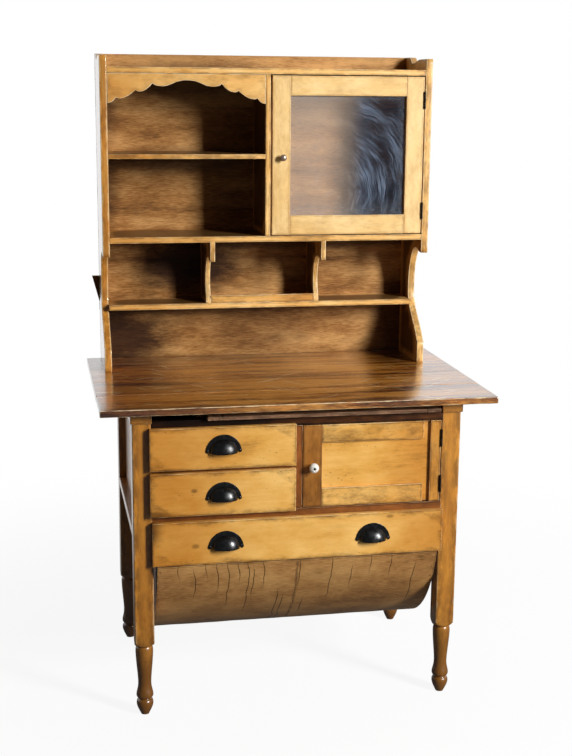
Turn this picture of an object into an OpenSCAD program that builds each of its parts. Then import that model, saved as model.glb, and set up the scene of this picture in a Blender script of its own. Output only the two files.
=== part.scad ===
// Bakers cabinet: a possum-belly table with a curved flour bin, three drawers, a cupboard and
// a pull-out bread board, carrying a hutch with a glazed door, pigeonholes and S-curved sides.
// Millimetres, +Z up, the front faces -Y. The origin is the middle of the footprint, on the floor.
// Places across are counted from the middle of the table, halfway between the legs, and depths from
// the front edge of the worktop. place() moves both to that origin.

/* [Worktop] */
// Length of the worktop
worktop_w = 978; // [930:1:1100]
// How far the worktop stands out past the legs on the left
over_left = 77; // [70:1:100]
// How far the worktop stands out past the legs on the right
over_right = 83; // [70:1:100]
// Depth of the worktop
worktop_d = 635; // [625:1:760]
// Thickness of the worktop boards
worktop_t = 17.5; // [14:0.5:30]
// Height of the worktop's upper face above the floor
worktop_top = 800; // [770:1:900]
// Boards that the worktop is glued up from
worktop_boards = 4; // [2:1:6]
// Radius of the worn front edge of the worktop
worktop_edge_r = 3; // [1:0.5:6]

/* [Legs and frame] */
// Distance from the worktop's front edge back to the front faces of the legs
leg_set = 40; // [34:1:60]
// Distance from the worktop's rear edge forward to the rear faces of the legs
frame_rear_set = 58; // [30:1:70]
// Width of the square part of a leg
leg_w = 48; // [44:1:60]
// Height of the turned part of a leg
turned_h = 188; // [150:1:220]
// Largest radius of the turned part, under the square block
turned_r = 22; // [18:0.5:23.5]
// Radius of the leg's waist above the ankle ring
waist_r = 16.4; // [13:0.1:18]
// Radius of the bun foot
foot_r = 21; // [18:0.1:23]
// Height of the two bearers that the worktop lies on
bearer_h = 27; // [22:1:40]
// Width of the bearers
bearer_w = 52; // [46:1:60]
// How far the bearers stand out past the legs, at the side and in front
bearer_out = 4; // [0:0.5:12]
// Thickness of the front rails and of the centre stile
rail_t = 22; // [18:1:30]
// Length of the tenons that hold the front rails in the legs
tenon_l = 14; // [8:1:20]
// Thickness of the tenons of the front rails
tenon_t = 9; // [6:1:12]
// Height of the rail over the drawers
top_rail_h = 23; // [18:1:26]
// Height of the rail between the two upper drawers
drawer_rail_h = 16; // [14:1:24]
// Height of the rail over the flour bin
middle_rail_h = 23; // [18:1:26]
// Width of the centre stile
stile_w = 23; // [21:1:34]
// Distance from the middle of the table to the right-hand face of the centre stile
stile_right = 7; // [4:0.5:20]
// Thickness of the partition behind the centre stile
partition_t = 16; // [10:1:20]
// Height of the side panels and of the back panel
panel_h = 273.5; // [250:0.5:290]
// Thickness of the side panels and of the back panel
panel_t = 12; // [8:1:16]
// How far the side panels are set in from the outer faces of the legs
panel_set = 18; // [10:1:24]
// Height of the rails under the side panels and the back panel
low_rail_h = 20; // [14:1:30]
// Thickness of the floor of the cupboard
floor_t = 12; // [9:1:16]

/* [Drawers] */
// Height of the upper drawer's opening
upper_open_h = 93; // [80:1:110]
// Height of the lower drawer's opening
lower_open_h = 102; // [90:1:120]
// Thickness of the drawer fronts
front_t = 15.5; // [12:0.5:20]
// Gap between a closed drawer front and the frame behind it
close_gap = 0.5; // [0.4:0.1:1.5]
// How far the upper drawer front laps over the rail above it
lap_top = 7; // [4:0.5:10]
// How far the two upper fronts lap over the rail between them
lap_mid = 4.4; // [2:0.1:6]
// How far the lower drawer front laps over the rail below it
lap_low = 2; // [1:0.5:4]
// How far the drawer fronts lap over the leg
lap_leg = 8; // [4:0.5:12]
// How far the drawer fronts lap over the centre stile
lap_stile = 4.6; // [2:0.1:6]
// Free depth between the drawer boxes and the back panel
box_free = 55.5; // [50:0.5:120]
// Thickness of the drawer sides and backs
box_t = 11; // [9:0.5:14]
// Thickness of the drawer bottoms
box_bottom_t = 5; // [4:0.5:8]
// Height of the groove for a drawer bottom above the lower edge of the side
groove_up = 8; // [6:1:14]
// Depth of the groove for a drawer bottom
groove_d = 5; // [3:0.5:7]
// Clearance between a drawer box and the frame at each side
box_side_gap = 2; // [1:0.5:4]
// Clearance over a drawer box
box_top_gap = 3; // [2:0.5:8]
// Running clearance under a drawer side
run_gap = 0.4; // [0.3:0.1:0.8]
// Height of the drawer runners
runner_h = 16; // [12:1:16]
// How far the right-hand runners reach under the drawer side
runner_w = 20; // [17:1:24]

/* [Flour bin] */
// Height of the bin front
bin_front_h = 110; // [95:1:120]
// How far the bin front laps over the rail above it
bin_lap_top = 6; // [4:0.5:9]
// How far the bin front laps over the legs
bin_lap_leg = 4; // [2:0.5:10]
// Radius of the curved belly, outside
belly_r = 335; // [320:1:345]
// Height of the belly's centre of curvature over the lower edge of the bin front
belly_up = 75; // [65:1:85]
// Free depth between the bin and the back panel
bin_free = 55; // [45:1:80]
// Thickness of the bent sheets of the belly
sheet_t = 3; // [2:0.5:5]
// Thickness of the shaped end boards of the bin
bin_end_t = 14; // [10:1:18]
// Clearance between a bin end and the legs
bin_side_gap = 8; // [7:0.5:14]
// Gap between the lower edge of the bin front and the sheets
sheet_gap = 2.5; // [1:0.5:5]
// Height of the cleats that the bin hangs on
bin_cleat_h = 18; // [14:1:24]
// Distance of the cleats below the rail over the bin
bin_cleat_down = 40; // [20:1:50]

/* [Bread board] */
// Width of the bread board
bread_w = 582; // [400:1:600]
// Distance of the bread board's right-hand end from the leg
bread_side_gap = 8; // [7:1:20]
// Free depth between the bread board and the back panel
bread_free = 71; // [50:1:150]
// Thickness of the bread board
bread_t = 9; // [7:0.5:12]
// Free height between the bread board and the worktop
bread_over = 13; // [8:1:16]
// Width of the cleats across the ends of the bread board
bread_cleat_w = 36; // [25:1:50]
// Distance from the worktop's front edge to the bread board
bread_set = 24; // [18:1:34]

/* [Cupboard door] */
// Clearance round the cupboard door
door_gap = 1.5; // [1:0.1:3]
// Thickness of the cupboard door's panel
door_panel_t = 10; // [8:0.5:14]
// Thickness of the battens planted on the panel
door_batten_t = 8; // [5:0.5:10]
// Width of the plain upright on the knob side
door_stile_w = 48; // [40:1:60]
// Width of the upright strip on the hinge side
door_strip_w = 27; // [20:1:34]
// Height of the upper batten
door_batten_top = 45; // [35:1:55]
// Height of the lower batten
door_batten_low = 47; // [35:1:55]
// Bare width of panel between the battens and the hinge strip
door_bare = 18; // [10:1:30]

/* [Hutch] */
// Distance of the hutch's left side from the left end of the worktop
hutch_in_left = 38.5; // [22:0.5:50]
// Distance of the hutch's right side from the right end of the worktop
hutch_in_right = 63.5; // [40:0.5:75]
// Height of the hutch's top board over the worktop, at its upper face
hutch_h = 789.5; // [740:0.5:840]
// Depth of the hutch's boards in front of its back
hutch_d = 195; // [180:1:205]
// Thickness of the hutch's sides
side_t = 19; // [16:0.5:22]
// Thickness of the top board
hutch_top_t = 15.2; // [12:0.1:18]
// Thickness of the board under the cupboards
hutch_bottom_t = 15.5; // [12:0.1:18]
// Depth of the housings that hold the boards in the sides
housing = 7; // [4:0.5:9]
// Height of the board under the cupboards over the worktop, at its upper face
hutch_bottom_up = 356.5; // [340:0.5:370]
// Height of the middle shelf over the cupboards' floor, at its upper face
mid_shelf_up = 214; // [180:1:240]
// Thickness of the middle shelf
mid_shelf_t = 12.3; // [10:0.1:16]
// Distance of the hutch's partition to the left of the middle of the table
hutch_partition_left = 13; // [0:0.5:30]
// Thickness of the hutch's partition
hutch_partition_t = 13.3; // [10:0.1:16]
// Thickness of the back boards
back_t = 11; // [8:0.5:14]
// Boards that the hutch's back is made of
back_boards = 6; // [3:1:8]
// Height of the gallery over the top board, at the back
gallery_h = 35.5; // [25:0.5:50]
// How far the gallery's sides stay below its back
gallery_low = 7; // [0:0.5:12]
// Depth of the dip in the top edge of the gallery's sides
gallery_dip = 16; // [8:0.5:20]
// Height of the scalloped board at its ends
valance_h = 75; // [68:0.5:90]
// Thickness of the scalloped board
valance_t = 12; // [9:0.5:16]
// Rise of the pointed arch in the scalloped board, from its lowest points
valance_rise = 58; // [50:0.5:64]
// Thickness of the batten across the back of the hutch
batten_t = 12; // [9:0.5:16]
// Height of the batten across the back of the hutch
batten_h = 95; // [72:1:110]
// Height of that batten's upper edge over the worktop
batten_up = 230; // [200:1:260]
// How far the upper corners of that batten stand out past the sides
batten_out = 19; // [8:1:24]
// Length over which the batten's ends are cut in again
batten_splay = 72; // [50:1:90]

/* [Pigeonholes] */
// Height of the pigeonholes' shelf over the worktop, at its upper face
hole_shelf_up = 166; // [150:1:185]
// Thickness of the pigeonholes' shelf
hole_shelf_t = 14.5; // [12:0.1:18]
// Distance of the pigeonholes' shelf behind the hutch's front
hole_shelf_set = 84; // [70:1:92]
// Thickness of the two dividers
divider_t = 13.5; // [10:0.1:16]
// Distance of the left divider to the left of the middle of the table
divider_left = 160; // [120:1:200]
// Distance of the right divider to the right of the middle of the table
divider_right = 139; // [100:1:180]
// Height of the straight front part of the dividers under the board over them
divider_drop = 51; // [40:1:60]
// Height of the lip across the middle pigeonhole
lip_h = 21; // [15:1:30]
// Thickness of that lip
lip_t = 10; // [7:0.5:14]

/* [Side profile] */
// Height of the straight foot of a hutch side
foot_h = 60; // [50:1:75]
// Distance of the foot behind the hutch's front
foot_set = 10; // [4:1:16]
// Deepest hollow of the sides behind the hutch's front
hollow_set = 115; // [105:1:125]
// Height over the worktop of the straight front part of the sides
straight_up = 306; // [290:1:318]

/* [Glazed door] */
// Clearance at the hinge side, the top and the bottom of the glazed door
glass_door_gap = 2.5; // [1.5:0.1:4]
// Clearance between the glazed door and the partition
glass_door_left = 4.8; // [2:0.1:8]
// Thickness of the glazed door
glass_door_t = 18; // [16:0.5:22]
// Width of the glazed door's uprights
glass_stile_w = 48; // [40:1:60]
// Height of the glazed door's rails
glass_rail_h = 51; // [40:1:60]
// Length of the tenons of the glazed door's rails
glass_tenon_l = 30; // [15:1:36]
// Thickness of the tenons of the glazed door's rails
glass_tenon_t = 6; // [4:0.5:7]
// Thickness of the glass
pane_t = 3; // [2:0.5:4]
// Width of the rebate that holds the glass
rebate_w = 8; // [6:0.5:10]
// Distance of the glass behind the door's front face
pane_set = 7; // [5:0.5:8]
// Size of the beads that hold the glass
bead_t = 7; // [5:0.5:7.5]

/* [Hardware] */
// Width of a cup pull over its ears
pull_w = 89; // [76:1:100]
// Height of a cup pull
pull_h = 45.5; // [36:0.5:50]
// Projection of a cup pull
pull_out = 23; // [18:1:28]
// Thickness of the metal of a cup pull
pull_t = 2; // [1.5:0.1:2.5]
// Distance of the upper drawer's pull's lower edge below the middle of its front
pull_down_top = 11.5; // [5:0.5:26]
// Distance of the other pulls' lower edges below the middle of their fronts
pull_down = 16.5; // [5:0.5:26]
// Distance of a bin pull's middle from the end of the front
bin_pull_set = 180; // [120:1:240]
// Height of a butt hinge
hinge_h = 43; // [36:1:52]
// Outer radius of a hinge knuckle
knuckle_r = 2.6; // [2.4:0.1:3]
// Radius of a hinge pin
pin_r = 1.4; // [1.2:0.1:1.6]
// Radial running clearance between pin and knuckle
pin_gap = 0.05; // [0.02:0.01:0.08]
// Thickness of a hinge leaf
leaf_t = 1; // [0.8:0.1:1.1]
// Width of a hinge leaf
leaf_w = 14; // [10:1:15]
// Distance of a hinge's middle from the top or the bottom of the cupboard door
door_hinge_in = 45; // [36:1:60]
// Distance of a hinge's middle from the top or the bottom of the glazed door
glass_hinge_in = 61; // [40:1:90]
// Largest diameter of the cupboard's knob
knob_d = 25; // [20:1:32]
// Projection of the cupboard's knob
knob_out = 26; // [20:1:32]
// Largest diameter of the glazed door's knob
small_knob_d = 18; // [14:1:22]
// Projection of the glazed door's knob
small_knob_out = 19; // [15:1:24]

/* [Hidden] */
$fn = 48;
eps = 0.01;
curve_steps = 8;
tenon_set = 6;
tenon_shoulder = 4;

// V-shaped seams between boards
seam_w = 1.4;
seam_deep = 1.2;
// Gap that keeps two pieces of one sub-part apart in a joint
joint_gap = 0.2;

// Whole object
overall_d = worktop_d + batten_t;

// Levels, from the worktop down
under_top = worktop_top - worktop_t;
leg_top = under_top - bearer_h;
bread_z = under_top - bread_over - bread_t;
top_rail_z1 = bread_z - run_gap;
top_rail_z0 = top_rail_z1 - top_rail_h;
drawer_rail_z1 = top_rail_z0 - upper_open_h;
drawer_rail_z0 = drawer_rail_z1 - drawer_rail_h;
middle_rail_z1 = drawer_rail_z0 - lower_open_h;
middle_rail_z0 = middle_rail_z1 - middle_rail_h;
bin_front_z1 = middle_rail_z0 + bin_lap_top;
bin_front_z0 = bin_front_z1 - bin_front_h;
low_rail_z1 = leg_top - panel_h;
low_rail_z0 = low_rail_z1 - low_rail_h;

// Places across the table, and depths behind the worktop's front edge
leg_out = (worktop_w - over_left - over_right) / 2;
worktop_x0 = -leg_out - over_left;
worktop_x1 = leg_out + over_right;
footprint_x = (worktop_x0 + worktop_x1) / 2;
leg_in = leg_out - leg_w;
leg_back = leg_set + leg_w;
frame_back = worktop_d - frame_rear_set;
rear_leg_front = frame_back - leg_w;
rail_back = leg_set + rail_t;
panel_out = leg_out - panel_set;
panel_in = panel_out - panel_t;
back_in = frame_back - panel_t;
stile_left = stile_right - stile_w;
partition_x = (stile_left + stile_right) / 2;
front_d1 = leg_set - close_gap;
front_d0 = front_d1 - front_t;
box_back = back_in - box_free;

// Flour bin
bin_top_gap = 5;
bin_divider_down = 15;
bin_cleat_set = 10;
bin_side_play = 1;
bin_side = leg_in - bin_side_gap;
belly_d = front_d0 + sqrt(belly_r * belly_r - pow(belly_up + sheet_gap, 2));
belly_z = bin_front_z0 + belly_up;
bin_back_d = back_in - bin_free;
belly_top = bin_front_z0 - sheet_gap;
bin_top = middle_rail_z0 - bin_top_gap;
bin_cleat_z1 = middle_rail_z0 - bin_cleat_down;
bin_cleat_z0 = bin_cleat_z1 - bin_cleat_h;

// Cupboard door
door_x0 = stile_right + door_gap;
door_x1 = leg_in - door_gap;
door_z0 = middle_rail_z1 + door_gap;
door_z1 = top_rail_z0 - door_gap;
door_back = leg_set + door_batten_t + door_panel_t;

// Hutch: places counted like the table's
hutch_front = worktop_d - back_t - hutch_d;
back_d0 = worktop_d - back_t;
side_out_l = worktop_x0 + hutch_in_left;
side_in_l = side_out_l + side_t;
side_out_r = worktop_x1 - hutch_in_right;
side_in_r = side_out_r - side_t;
hutch_top_z1 = worktop_top + hutch_h;
hutch_top_z0 = hutch_top_z1 - hutch_top_t;
hutch_bottom_z1 = worktop_top + hutch_bottom_up;
hutch_bottom_z0 = hutch_bottom_z1 - hutch_bottom_t;
mid_shelf_z1 = hutch_bottom_z1 + mid_shelf_up;
gallery_z = hutch_top_z1 + gallery_h;
hutch_part_x0 = -hutch_partition_left - hutch_partition_t / 2;
hutch_part_x1 = -hutch_partition_left + hutch_partition_t / 2;
hole_shelf_z1 = worktop_top + hole_shelf_up;
hole_shelf_z0 = hole_shelf_z1 - hole_shelf_t;
hole_front = hutch_front + hole_shelf_set;
board_notch = 4;

// Glazed door
glass_x0 = hutch_part_x1 + glass_door_left;
glass_x1 = side_in_r - glass_door_gap;
glass_z0 = hutch_bottom_z1 + glass_door_gap;
glass_z1 = hutch_top_z0 - glass_door_gap;
glass_back = hutch_front + glass_door_t;
pane_front = hutch_front + pane_set;

// Hinge pins: in the gap at the hinge side, a little in front of the closed door
door_pin_x = leg_in - door_gap / 2;
knuckle_gap = 0.1;
knuckle_free = 0.4;
leaf_play = 0.1;
leaf_free = 0.3;
knuckle_reach = knuckle_r + knuckle_gap;
door_pin_d = leg_set - knuckle_reach;
glass_pin_x = side_in_r - glass_door_gap / 2;
glass_pin_d = hutch_front - knuckle_reach;
door_hinge_z = [door_z0 + door_hinge_in, door_z1 - door_hinge_in];
glass_hinge_z = [glass_z0 + glass_hinge_in, glass_z1 - glass_hinge_in];
hinge_slack = 0.6;
pin_end = 1;

// ---- shared shapes ----

// From places across and depths behind the worktop's front edge to the part's own frame
module place() {
    translate([-footprint_x, -overall_d / 2, 0]) children();
}

// A squared board between two corners
module board(x, d, z) {
    translate([x[0], d[0], z[0]]) cube([x[1] - x[0], d[1] - d[0], z[1] - z[0]]);
}

// A shape drawn as (depth, height) and cut from a board that runs from x0 to x1
module cut_across(x0, x1) {
    translate([x0, 0, 0]) rotate([90, 0, 90]) linear_extrude(x1 - x0) children();
}

// A shape drawn as (x, height) and cut from a board between the depths d0 and d1
module cut_along(d0, d1) {
    translate([0, d1, 0]) rotate([90, 0, 0]) linear_extrude(d1 - d0) children();
}

// A turned piece whose axis points forward, to -Y, from a face at depth d
module turned_forward(x, d, z) {
    translate([x, d, z]) rotate([90, 0, 0]) rotate_extrude() children();
}

// The same on the left and on the right of the table
module both_sides() {
    children();
    mirror([1, 0, 0]) children();
}

// Points of a cubic curve with end points p[0], p[3] and handles p[1], p[2]
function curve(p, n = curve_steps) = [for (i = [0:n]) let (t = i / n)
    pow(1 - t, 3) * p[0] + 3 * pow(1 - t, 2) * t * p[1] + 3 * (1 - t) * t * t * p[2] + pow(t, 3) * p[3]];

// ---- table: worktop, legs and frame ----

// Glued boards with an open seam between them, and a front edge worn round
module worktop() {
    board_d = worktop_d / worktop_boards;
    r = worktop_edge_r;
    color("saddlebrown") place() difference() {
        cut_across(worktop_x0, worktop_x1) {
            translate([r, under_top]) square([worktop_d - r, worktop_t]);
            translate([0, under_top + r]) square([r + eps, worktop_t - 2 * r]);
            for (z = [under_top + r, worktop_top - r]) translate([r, z]) circle(r);
        }
        for (i = [1:worktop_boards - 1]) seam(i * board_d, worktop_top);
    }
}

// The open seam between two boards of the worktop, along x at depth d
module seam(d, z) {
    cut_across(worktop_x0 - 1, worktop_x1 + 1)
        polygon([[d - seam_w / 2, z + eps], [d + seam_w / 2, z + eps], [d, z - seam_deep]]);
}

module bearers() {
    color("peru") place() both_sides()
        board([leg_out + bearer_out - bearer_w, leg_out + bearer_out], [leg_set - bearer_out, frame_back],
            [leg_top, under_top]);
}

// Half outline of the turned foot, as (radius, height): bun, groove, flare, waist and shoulder.
// Its heights stretch with the turned part.
function turned_outline() = let (t = turned_h / 188) concat(
    [[0, 0], [foot_r * 0.48, 0]],
    curve([[foot_r * 0.48, 0], [foot_r * 0.6, 7 * t], [foot_r * 0.98, 19 * t], [foot_r, 30 * t]]),
    curve([[foot_r, 30 * t], [foot_r, 34 * t], [foot_r - 0.6, 37.5 * t], [foot_r - 2.5, 39.5 * t]], 4),
    [[foot_r - 5.5, 41.2 * t], [foot_r - 5.5, 43 * t]],
    curve([[foot_r - 5.5, 43 * t], [foot_r - 2.5, 45 * t], [foot_r + 0.2, 47 * t],
        [foot_r + 0.2, 52 * t]], 5),
    curve([[foot_r + 0.2, 52 * t], [foot_r + 0.2, 62 * t], [waist_r, 68 * t], [waist_r, 85 * t]]),
    curve([[waist_r, 85 * t], [waist_r, 105 * t], [turned_r - 1, 135 * t], [turned_r, 168 * t]]),
    curve([[turned_r, 168 * t], [turned_r, 176 * t], [turned_r - 1, 180 * t],
        [turned_r - 2.5, 182 * t]], 4),
    [[turned_r - 2.5, 184.5 * t]],
    curve([[turned_r - 2.5, 184.5 * t], [leg_w * 0.52, 186 * t], [leg_w * 0.66, 192 * t],
        [leg_w * 0.72, 201 * t]], 6),
    [[leg_w * 0.72, leg_top], [0, leg_top]]);

// A leg about its own axis: the turned outline, held inside the square of the block
module leg_blank() {
    intersection() {
        rotate_extrude($fn = 64) polygon(turned_outline());
        translate([-leg_w / 2, -leg_w / 2, 0]) cube([leg_w, leg_w, leg_top]);
    }
}

// The sockets in the right front leg for the tenons of the front rails
module rail_sockets() {
    for (z = [[top_rail_z0, min(top_rail_z1, leg_top)], [middle_rail_z0, middle_rail_z1]])
        rail_tenon([leg_in, leg_in + tenon_l], z[0], z[1]);
}

// The tenon of a front rail, along x, for a rail between the heights z0 and z1
module rail_tenon(x, z0, z1) {
    board(x, [leg_set + tenon_set, leg_set + tenon_set + tenon_t],
        [z0 + tenon_shoulder, z1 - tenon_shoulder]);
}

module front_leg(side) {
    place() scale([side, 1, 1]) difference() {
        translate([leg_out - leg_w / 2, leg_set + leg_w / 2, 0]) leg_blank();
        rail_sockets();
        if (side > 0) leaf_recess(leg_in, leg_set, door_hinge_z, 1);
        if (side < 0) rail_tenon([leg_in, leg_in + tenon_l], drawer_rail_z0, drawer_rail_z1);
    }
}

module rear_leg(side) {
    place() scale([side, 1, 1])
        translate([leg_out - leg_w / 2, frame_back - leg_w / 2, 0]) leg_blank();
}

module leg_front_left() { color("peru") front_leg(-1); }
module leg_front_right() { color("peru") front_leg(1); }
module leg_rear_left() { color("peru") rear_leg(-1); }
module leg_rear_right() { color("peru") rear_leg(1); }

// A front rail from x0 to x1 with a tenon at the ends that reach a leg
module front_rail(x0, x1, z0, z1, tenon_z1) {
    board([x0, x1], [leg_set, rail_back], [z0, z1]);
    for (side = [-1, 1]) {
        end = side < 0 ? x0 : x1;
        if (abs(end) > leg_in - eps)
            rail_tenon(side < 0 ? [end - tenon_l, end + eps] : [end - eps, end + tenon_l], z0, tenon_z1);
    }
}

module top_rail() {
    color("goldenrod") place()
        front_rail(-leg_in, leg_in, top_rail_z0, top_rail_z1, min(top_rail_z1, leg_top));
}

module drawer_rail() {
    color("goldenrod") place()
        front_rail(-leg_in, stile_left, drawer_rail_z0, drawer_rail_z1, drawer_rail_z1);
}

module middle_rail() {
    color("goldenrod") place()
        front_rail(-leg_in, leg_in, middle_rail_z0, middle_rail_z1, middle_rail_z1);
}

module centre_stile() {
    color("goldenrod") place()
        board([stile_left, stile_right], [leg_set, rail_back], [middle_rail_z1, top_rail_z0]);
}

module side_panels() {
    color("peru") place() both_sides()
        board([panel_in, panel_out], [leg_back, rear_leg_front], [low_rail_z1, leg_top]);
}

module lower_rails() {
    color("peru") place() {
        both_sides() board([panel_in, leg_out], [leg_back, rear_leg_front], [low_rail_z0, low_rail_z1]);
        board([-leg_in, leg_in], [back_in - panel_t, frame_back], [low_rail_z0, low_rail_z1]);
    }
}

module table_back() {
    color("sienna") place() board([-leg_in, leg_in], [back_in, frame_back], [low_rail_z1, under_top]);
}

module partition() {
    color("sienna") place()
        board([partition_x - partition_t / 2, partition_x + partition_t / 2], [rail_back, back_in],
            [middle_rail_z1, leg_top]);
}

// The floor reaches the side panels and is notched round the legs
module cupboard_floor() {
    z = [middle_rail_z1 - floor_t, middle_rail_z1];
    color("sienna") place() {
        board([-leg_in, leg_in], [rail_back, back_in], z);
        board([-panel_in, panel_in], [leg_back, rear_leg_front], z);
    }
}

// One runner under each side of the upper drawer; the lower drawer runs on the cupboard's floor
module drawer_runners() {
    color("tan") place() {
        board([-panel_in, -leg_in + box_side_gap + box_t], [leg_back, rear_leg_front],
            [drawer_rail_z1 - runner_h, drawer_rail_z1]);
        board([partition_x - partition_t / 2 - runner_w, partition_x - partition_t / 2], [rail_back, back_in],
            [drawer_rail_z1 - runner_h, drawer_rail_z1]);
    }
}

// Runners on the inner faces of the legs, under the cleats of the bin
module bin_runners() {
    color("tan") place() both_sides()
        board([bin_side + bin_side_play, leg_in], [leg_set, frame_back],
            [bin_cleat_z0 - run_gap - bin_cleat_h, bin_cleat_z0 - run_gap]);
}

// ---- bread board ----

bread_x1 = leg_in - bread_side_gap;
bread_x0 = bread_x1 - bread_w;
bread_back = back_in - bread_free;
bread_guide_t = 20;
bread_lip = 12;
bread_guide_gap = 1;
bread_lip_t = 8;
bread_tongue = 8;

// A rebated guide, drawn for the right-hand end; its lip carries the board behind the front rail
module bread_guide() {
    difference() {
        board([bread_x1 - bread_lip, bread_x1 + bread_guide_gap + bread_guide_t], [rail_back, back_in],
            [bread_z - run_gap - bread_lip_t, under_top]);
        board([bread_x1 - bread_lip - 1, bread_x1 + bread_guide_gap], [rail_back - 1, back_in + 1],
            [bread_z - run_gap, under_top + 1]);
    }
}

module bread_guides() {
    color("tan") place() {
        intersection() {
            bread_guide();
            board([0, leg_out + bearer_out - bearer_w], [0, worktop_d], [0, under_top]);
        }
        translate([bread_x0 + bread_x1, 0, 0]) mirror([1, 0, 0]) bread_guide();
    }
}

// The board has a tongue at both ends that a grooved cleat slides over
module bread_board() {
    color("burlywood") place() {
        bread_middle(joint_gap, 0);
        difference() {
                board([bread_x0, bread_x1], [bread_set, bread_back], [bread_z, bread_z + bread_t]);
            bread_middle(0, joint_gap);
        }
    }
}

// The middle of the bread board, its shoulders short of the cleats, its tongue grown all round
module bread_middle(short, grow) {
    x = [bread_x0 + bread_cleat_w, bread_x1 - bread_cleat_w];
    d = [bread_set, bread_back];
    third = bread_t / 3;
    board([x[0] + short, x[1] - short], d, [bread_z, bread_z + bread_t]);
    board([x[0] - bread_tongue - grow, x[1] + bread_tongue + grow], d,
        [bread_z + third - grow, bread_z + 2 * third + grow]);
}

// ---- hardware ----

pull_axis_back = 18;
pull_cup_w = pull_w - 18;
screw_r = 1.6;
screw_head_r = 3.2;
screw_l = 10;
screw_gap = 0.05;
screw_in = 5.5;

// Outline of half the cup along its length: radius about the axis behind the front, at x
function cup_outline(half_w, out) = concat([[0, 0]],
    [for (i = [0:12]) let (a = 90 * i / 12) [pull_axis_back + out * cos(a), half_w * sin(a)]],
    [[0, half_w]]);

// The cup: a shape turned about an axis along x that lies behind the drawer front
module cup_solid(half_w, out) {
    for (side = [0, 1]) mirror([side, 0, 0])
        translate([0, pull_axis_back, 0]) rotate([0, 90, 0])
            rotate_extrude($fn = 64) polygon(cup_outline(half_w, out));
}

// Half oval on the drawer front: (x, z) from the lower edge up
function half_oval(w, h, n = 20) = [for (i = [0:n]) let (a = 180 * i / n) [w / 2 * cos(a), h * sin(a)]];

// A cup pull on a front whose outer face is at depth d; x, z are the middle of its lower edge
module cup_pull(x, d, z) {
    translate([x, d, z]) {
        // cup, open below and towards the front board
        intersection() {
            difference() {
                cup_solid(pull_cup_w / 2, pull_out);
                cup_solid(pull_cup_w / 2 - pull_t, pull_out - pull_t);
            }
            translate([-pull_w, -2 * pull_out, 0]) cube([2 * pull_w, 2 * pull_out, 2 * pull_h]);
        }
        // flange with an ear for a screw at each end
        difference() {
            cut_along(-pull_t, 0) union() {
                polygon(half_oval(pull_w - 6, pull_h));
                for (s = [-1, 1]) translate([s * (pull_w / 2 - screw_in), screw_in]) circle(screw_in);
            }
            cup_solid(pull_cup_w / 2 - pull_t / 2, pull_out - pull_t / 2);
            for (s = [-1, 1]) translate([s * (pull_w / 2 - screw_in), 1, screw_in]) rotate([90, 0, 0])
                cylinder(h = pull_t + 2, r = screw_r + screw_gap);
        }
        for (s = [-1, 1]) translate([s * (pull_w / 2 - screw_in), 0, screw_in]) pull_screw();
    }
}

// Round-headed screw through the flange into the front board
module pull_screw() {
    rotate([90, 0, 0]) {
        translate([0, 0, -screw_l]) cylinder(h = screw_l + pull_t + 0.5, r = screw_r);
        translate([0, 0, pull_t]) rotate_extrude() intersection() {
            translate([0, -1.4]) circle(sqrt(screw_head_r * screw_head_r + 1.4 * 1.4));
            square([screw_head_r, 2]);
        }
    }
}

// Holes for a pull's screws in the board behind it
module pull_holes(x, d, z) {
    for (s = [-1, 1]) translate([x + s * (pull_w / 2 - screw_in), d - 1, z + screw_in]) rotate([-90, 0, 0])
        cylinder(h = screw_l + 2, r = screw_r + screw_gap);
}

// Half outline of a knob: (radius, distance from the door)
function knob_outline(d, out) = concat(
    [[0, 0], [d * 0.3, 0], [d * 0.3, out * 0.08]],
    curve([[d * 0.3, out * 0.08], [d * 0.24, out * 0.2], [d * 0.22, out * 0.3], [d * 0.27, out * 0.4]], 5),
    curve([[d * 0.27, out * 0.4], [d * 0.52, out * 0.5], [d * 0.56, out * 0.72], [d * 0.4, out * 0.88]], 10),
    curve([[d * 0.4, out * 0.88], [d * 0.28, out * 0.96], [d * 0.1, out], [0, out]], 6));

// ---- drawers ----

// A drawer on the left of the table in the opening z, its front lapping to front_z
module drawer_front(front_z, pull_z) {
    color("goldenrod") place() difference() {
        board([drawer_front_x0, drawer_front_x1], [front_d0, front_d1], front_z);
        pull_holes(drawer_pull_x, front_d0, pull_z);
    }
}

drawer_front_x0 = -leg_in - lap_leg;
drawer_front_x1 = stile_left + lap_stile;
drawer_pull_x = (drawer_front_x0 + drawer_front_x1) / 2;

box_x0 = -leg_in + box_side_gap;
box_x1 = stile_left - box_side_gap;

// The bottom panel in its grooves
module drawer_bottom_panel(open_z) {
    board([box_x0 + box_t - groove_d, box_x1 - box_t + groove_d], [front_d1, box_back - box_t + groove_d],
        [open_z[0] + run_gap + groove_up, open_z[0] + run_gap + groove_up + box_bottom_t]);
}

module drawer_sides(open_z) {
    color("tan") place() difference() {
        for (x = [[box_x0, box_x0 + box_t], [box_x1 - box_t, box_x1]])
            board(x, [front_d1, box_back], [open_z[0] + run_gap, open_z[1] - box_top_gap]);
        drawer_bottom_panel(open_z);
    }
}

module drawer_back(open_z) {
    color("tan") place() difference() {
        board([box_x0 + box_t, box_x1 - box_t], [box_back - box_t, box_back],
            [open_z[0] + run_gap, open_z[1] - box_top_gap]);
        drawer_bottom_panel(open_z);
    }
}

upper_open = [drawer_rail_z1, top_rail_z0];
lower_open = [middle_rail_z1, drawer_rail_z0];
upper_front = [drawer_rail_z1 - lap_mid, top_rail_z0 + lap_top];
lower_front = [middle_rail_z1 - lap_low, drawer_rail_z0 + lap_mid];

upper_pull_z = (upper_front[0] + upper_front[1]) / 2 - pull_down_top;
lower_pull_z = (lower_front[0] + lower_front[1]) / 2 - pull_down;

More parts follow.
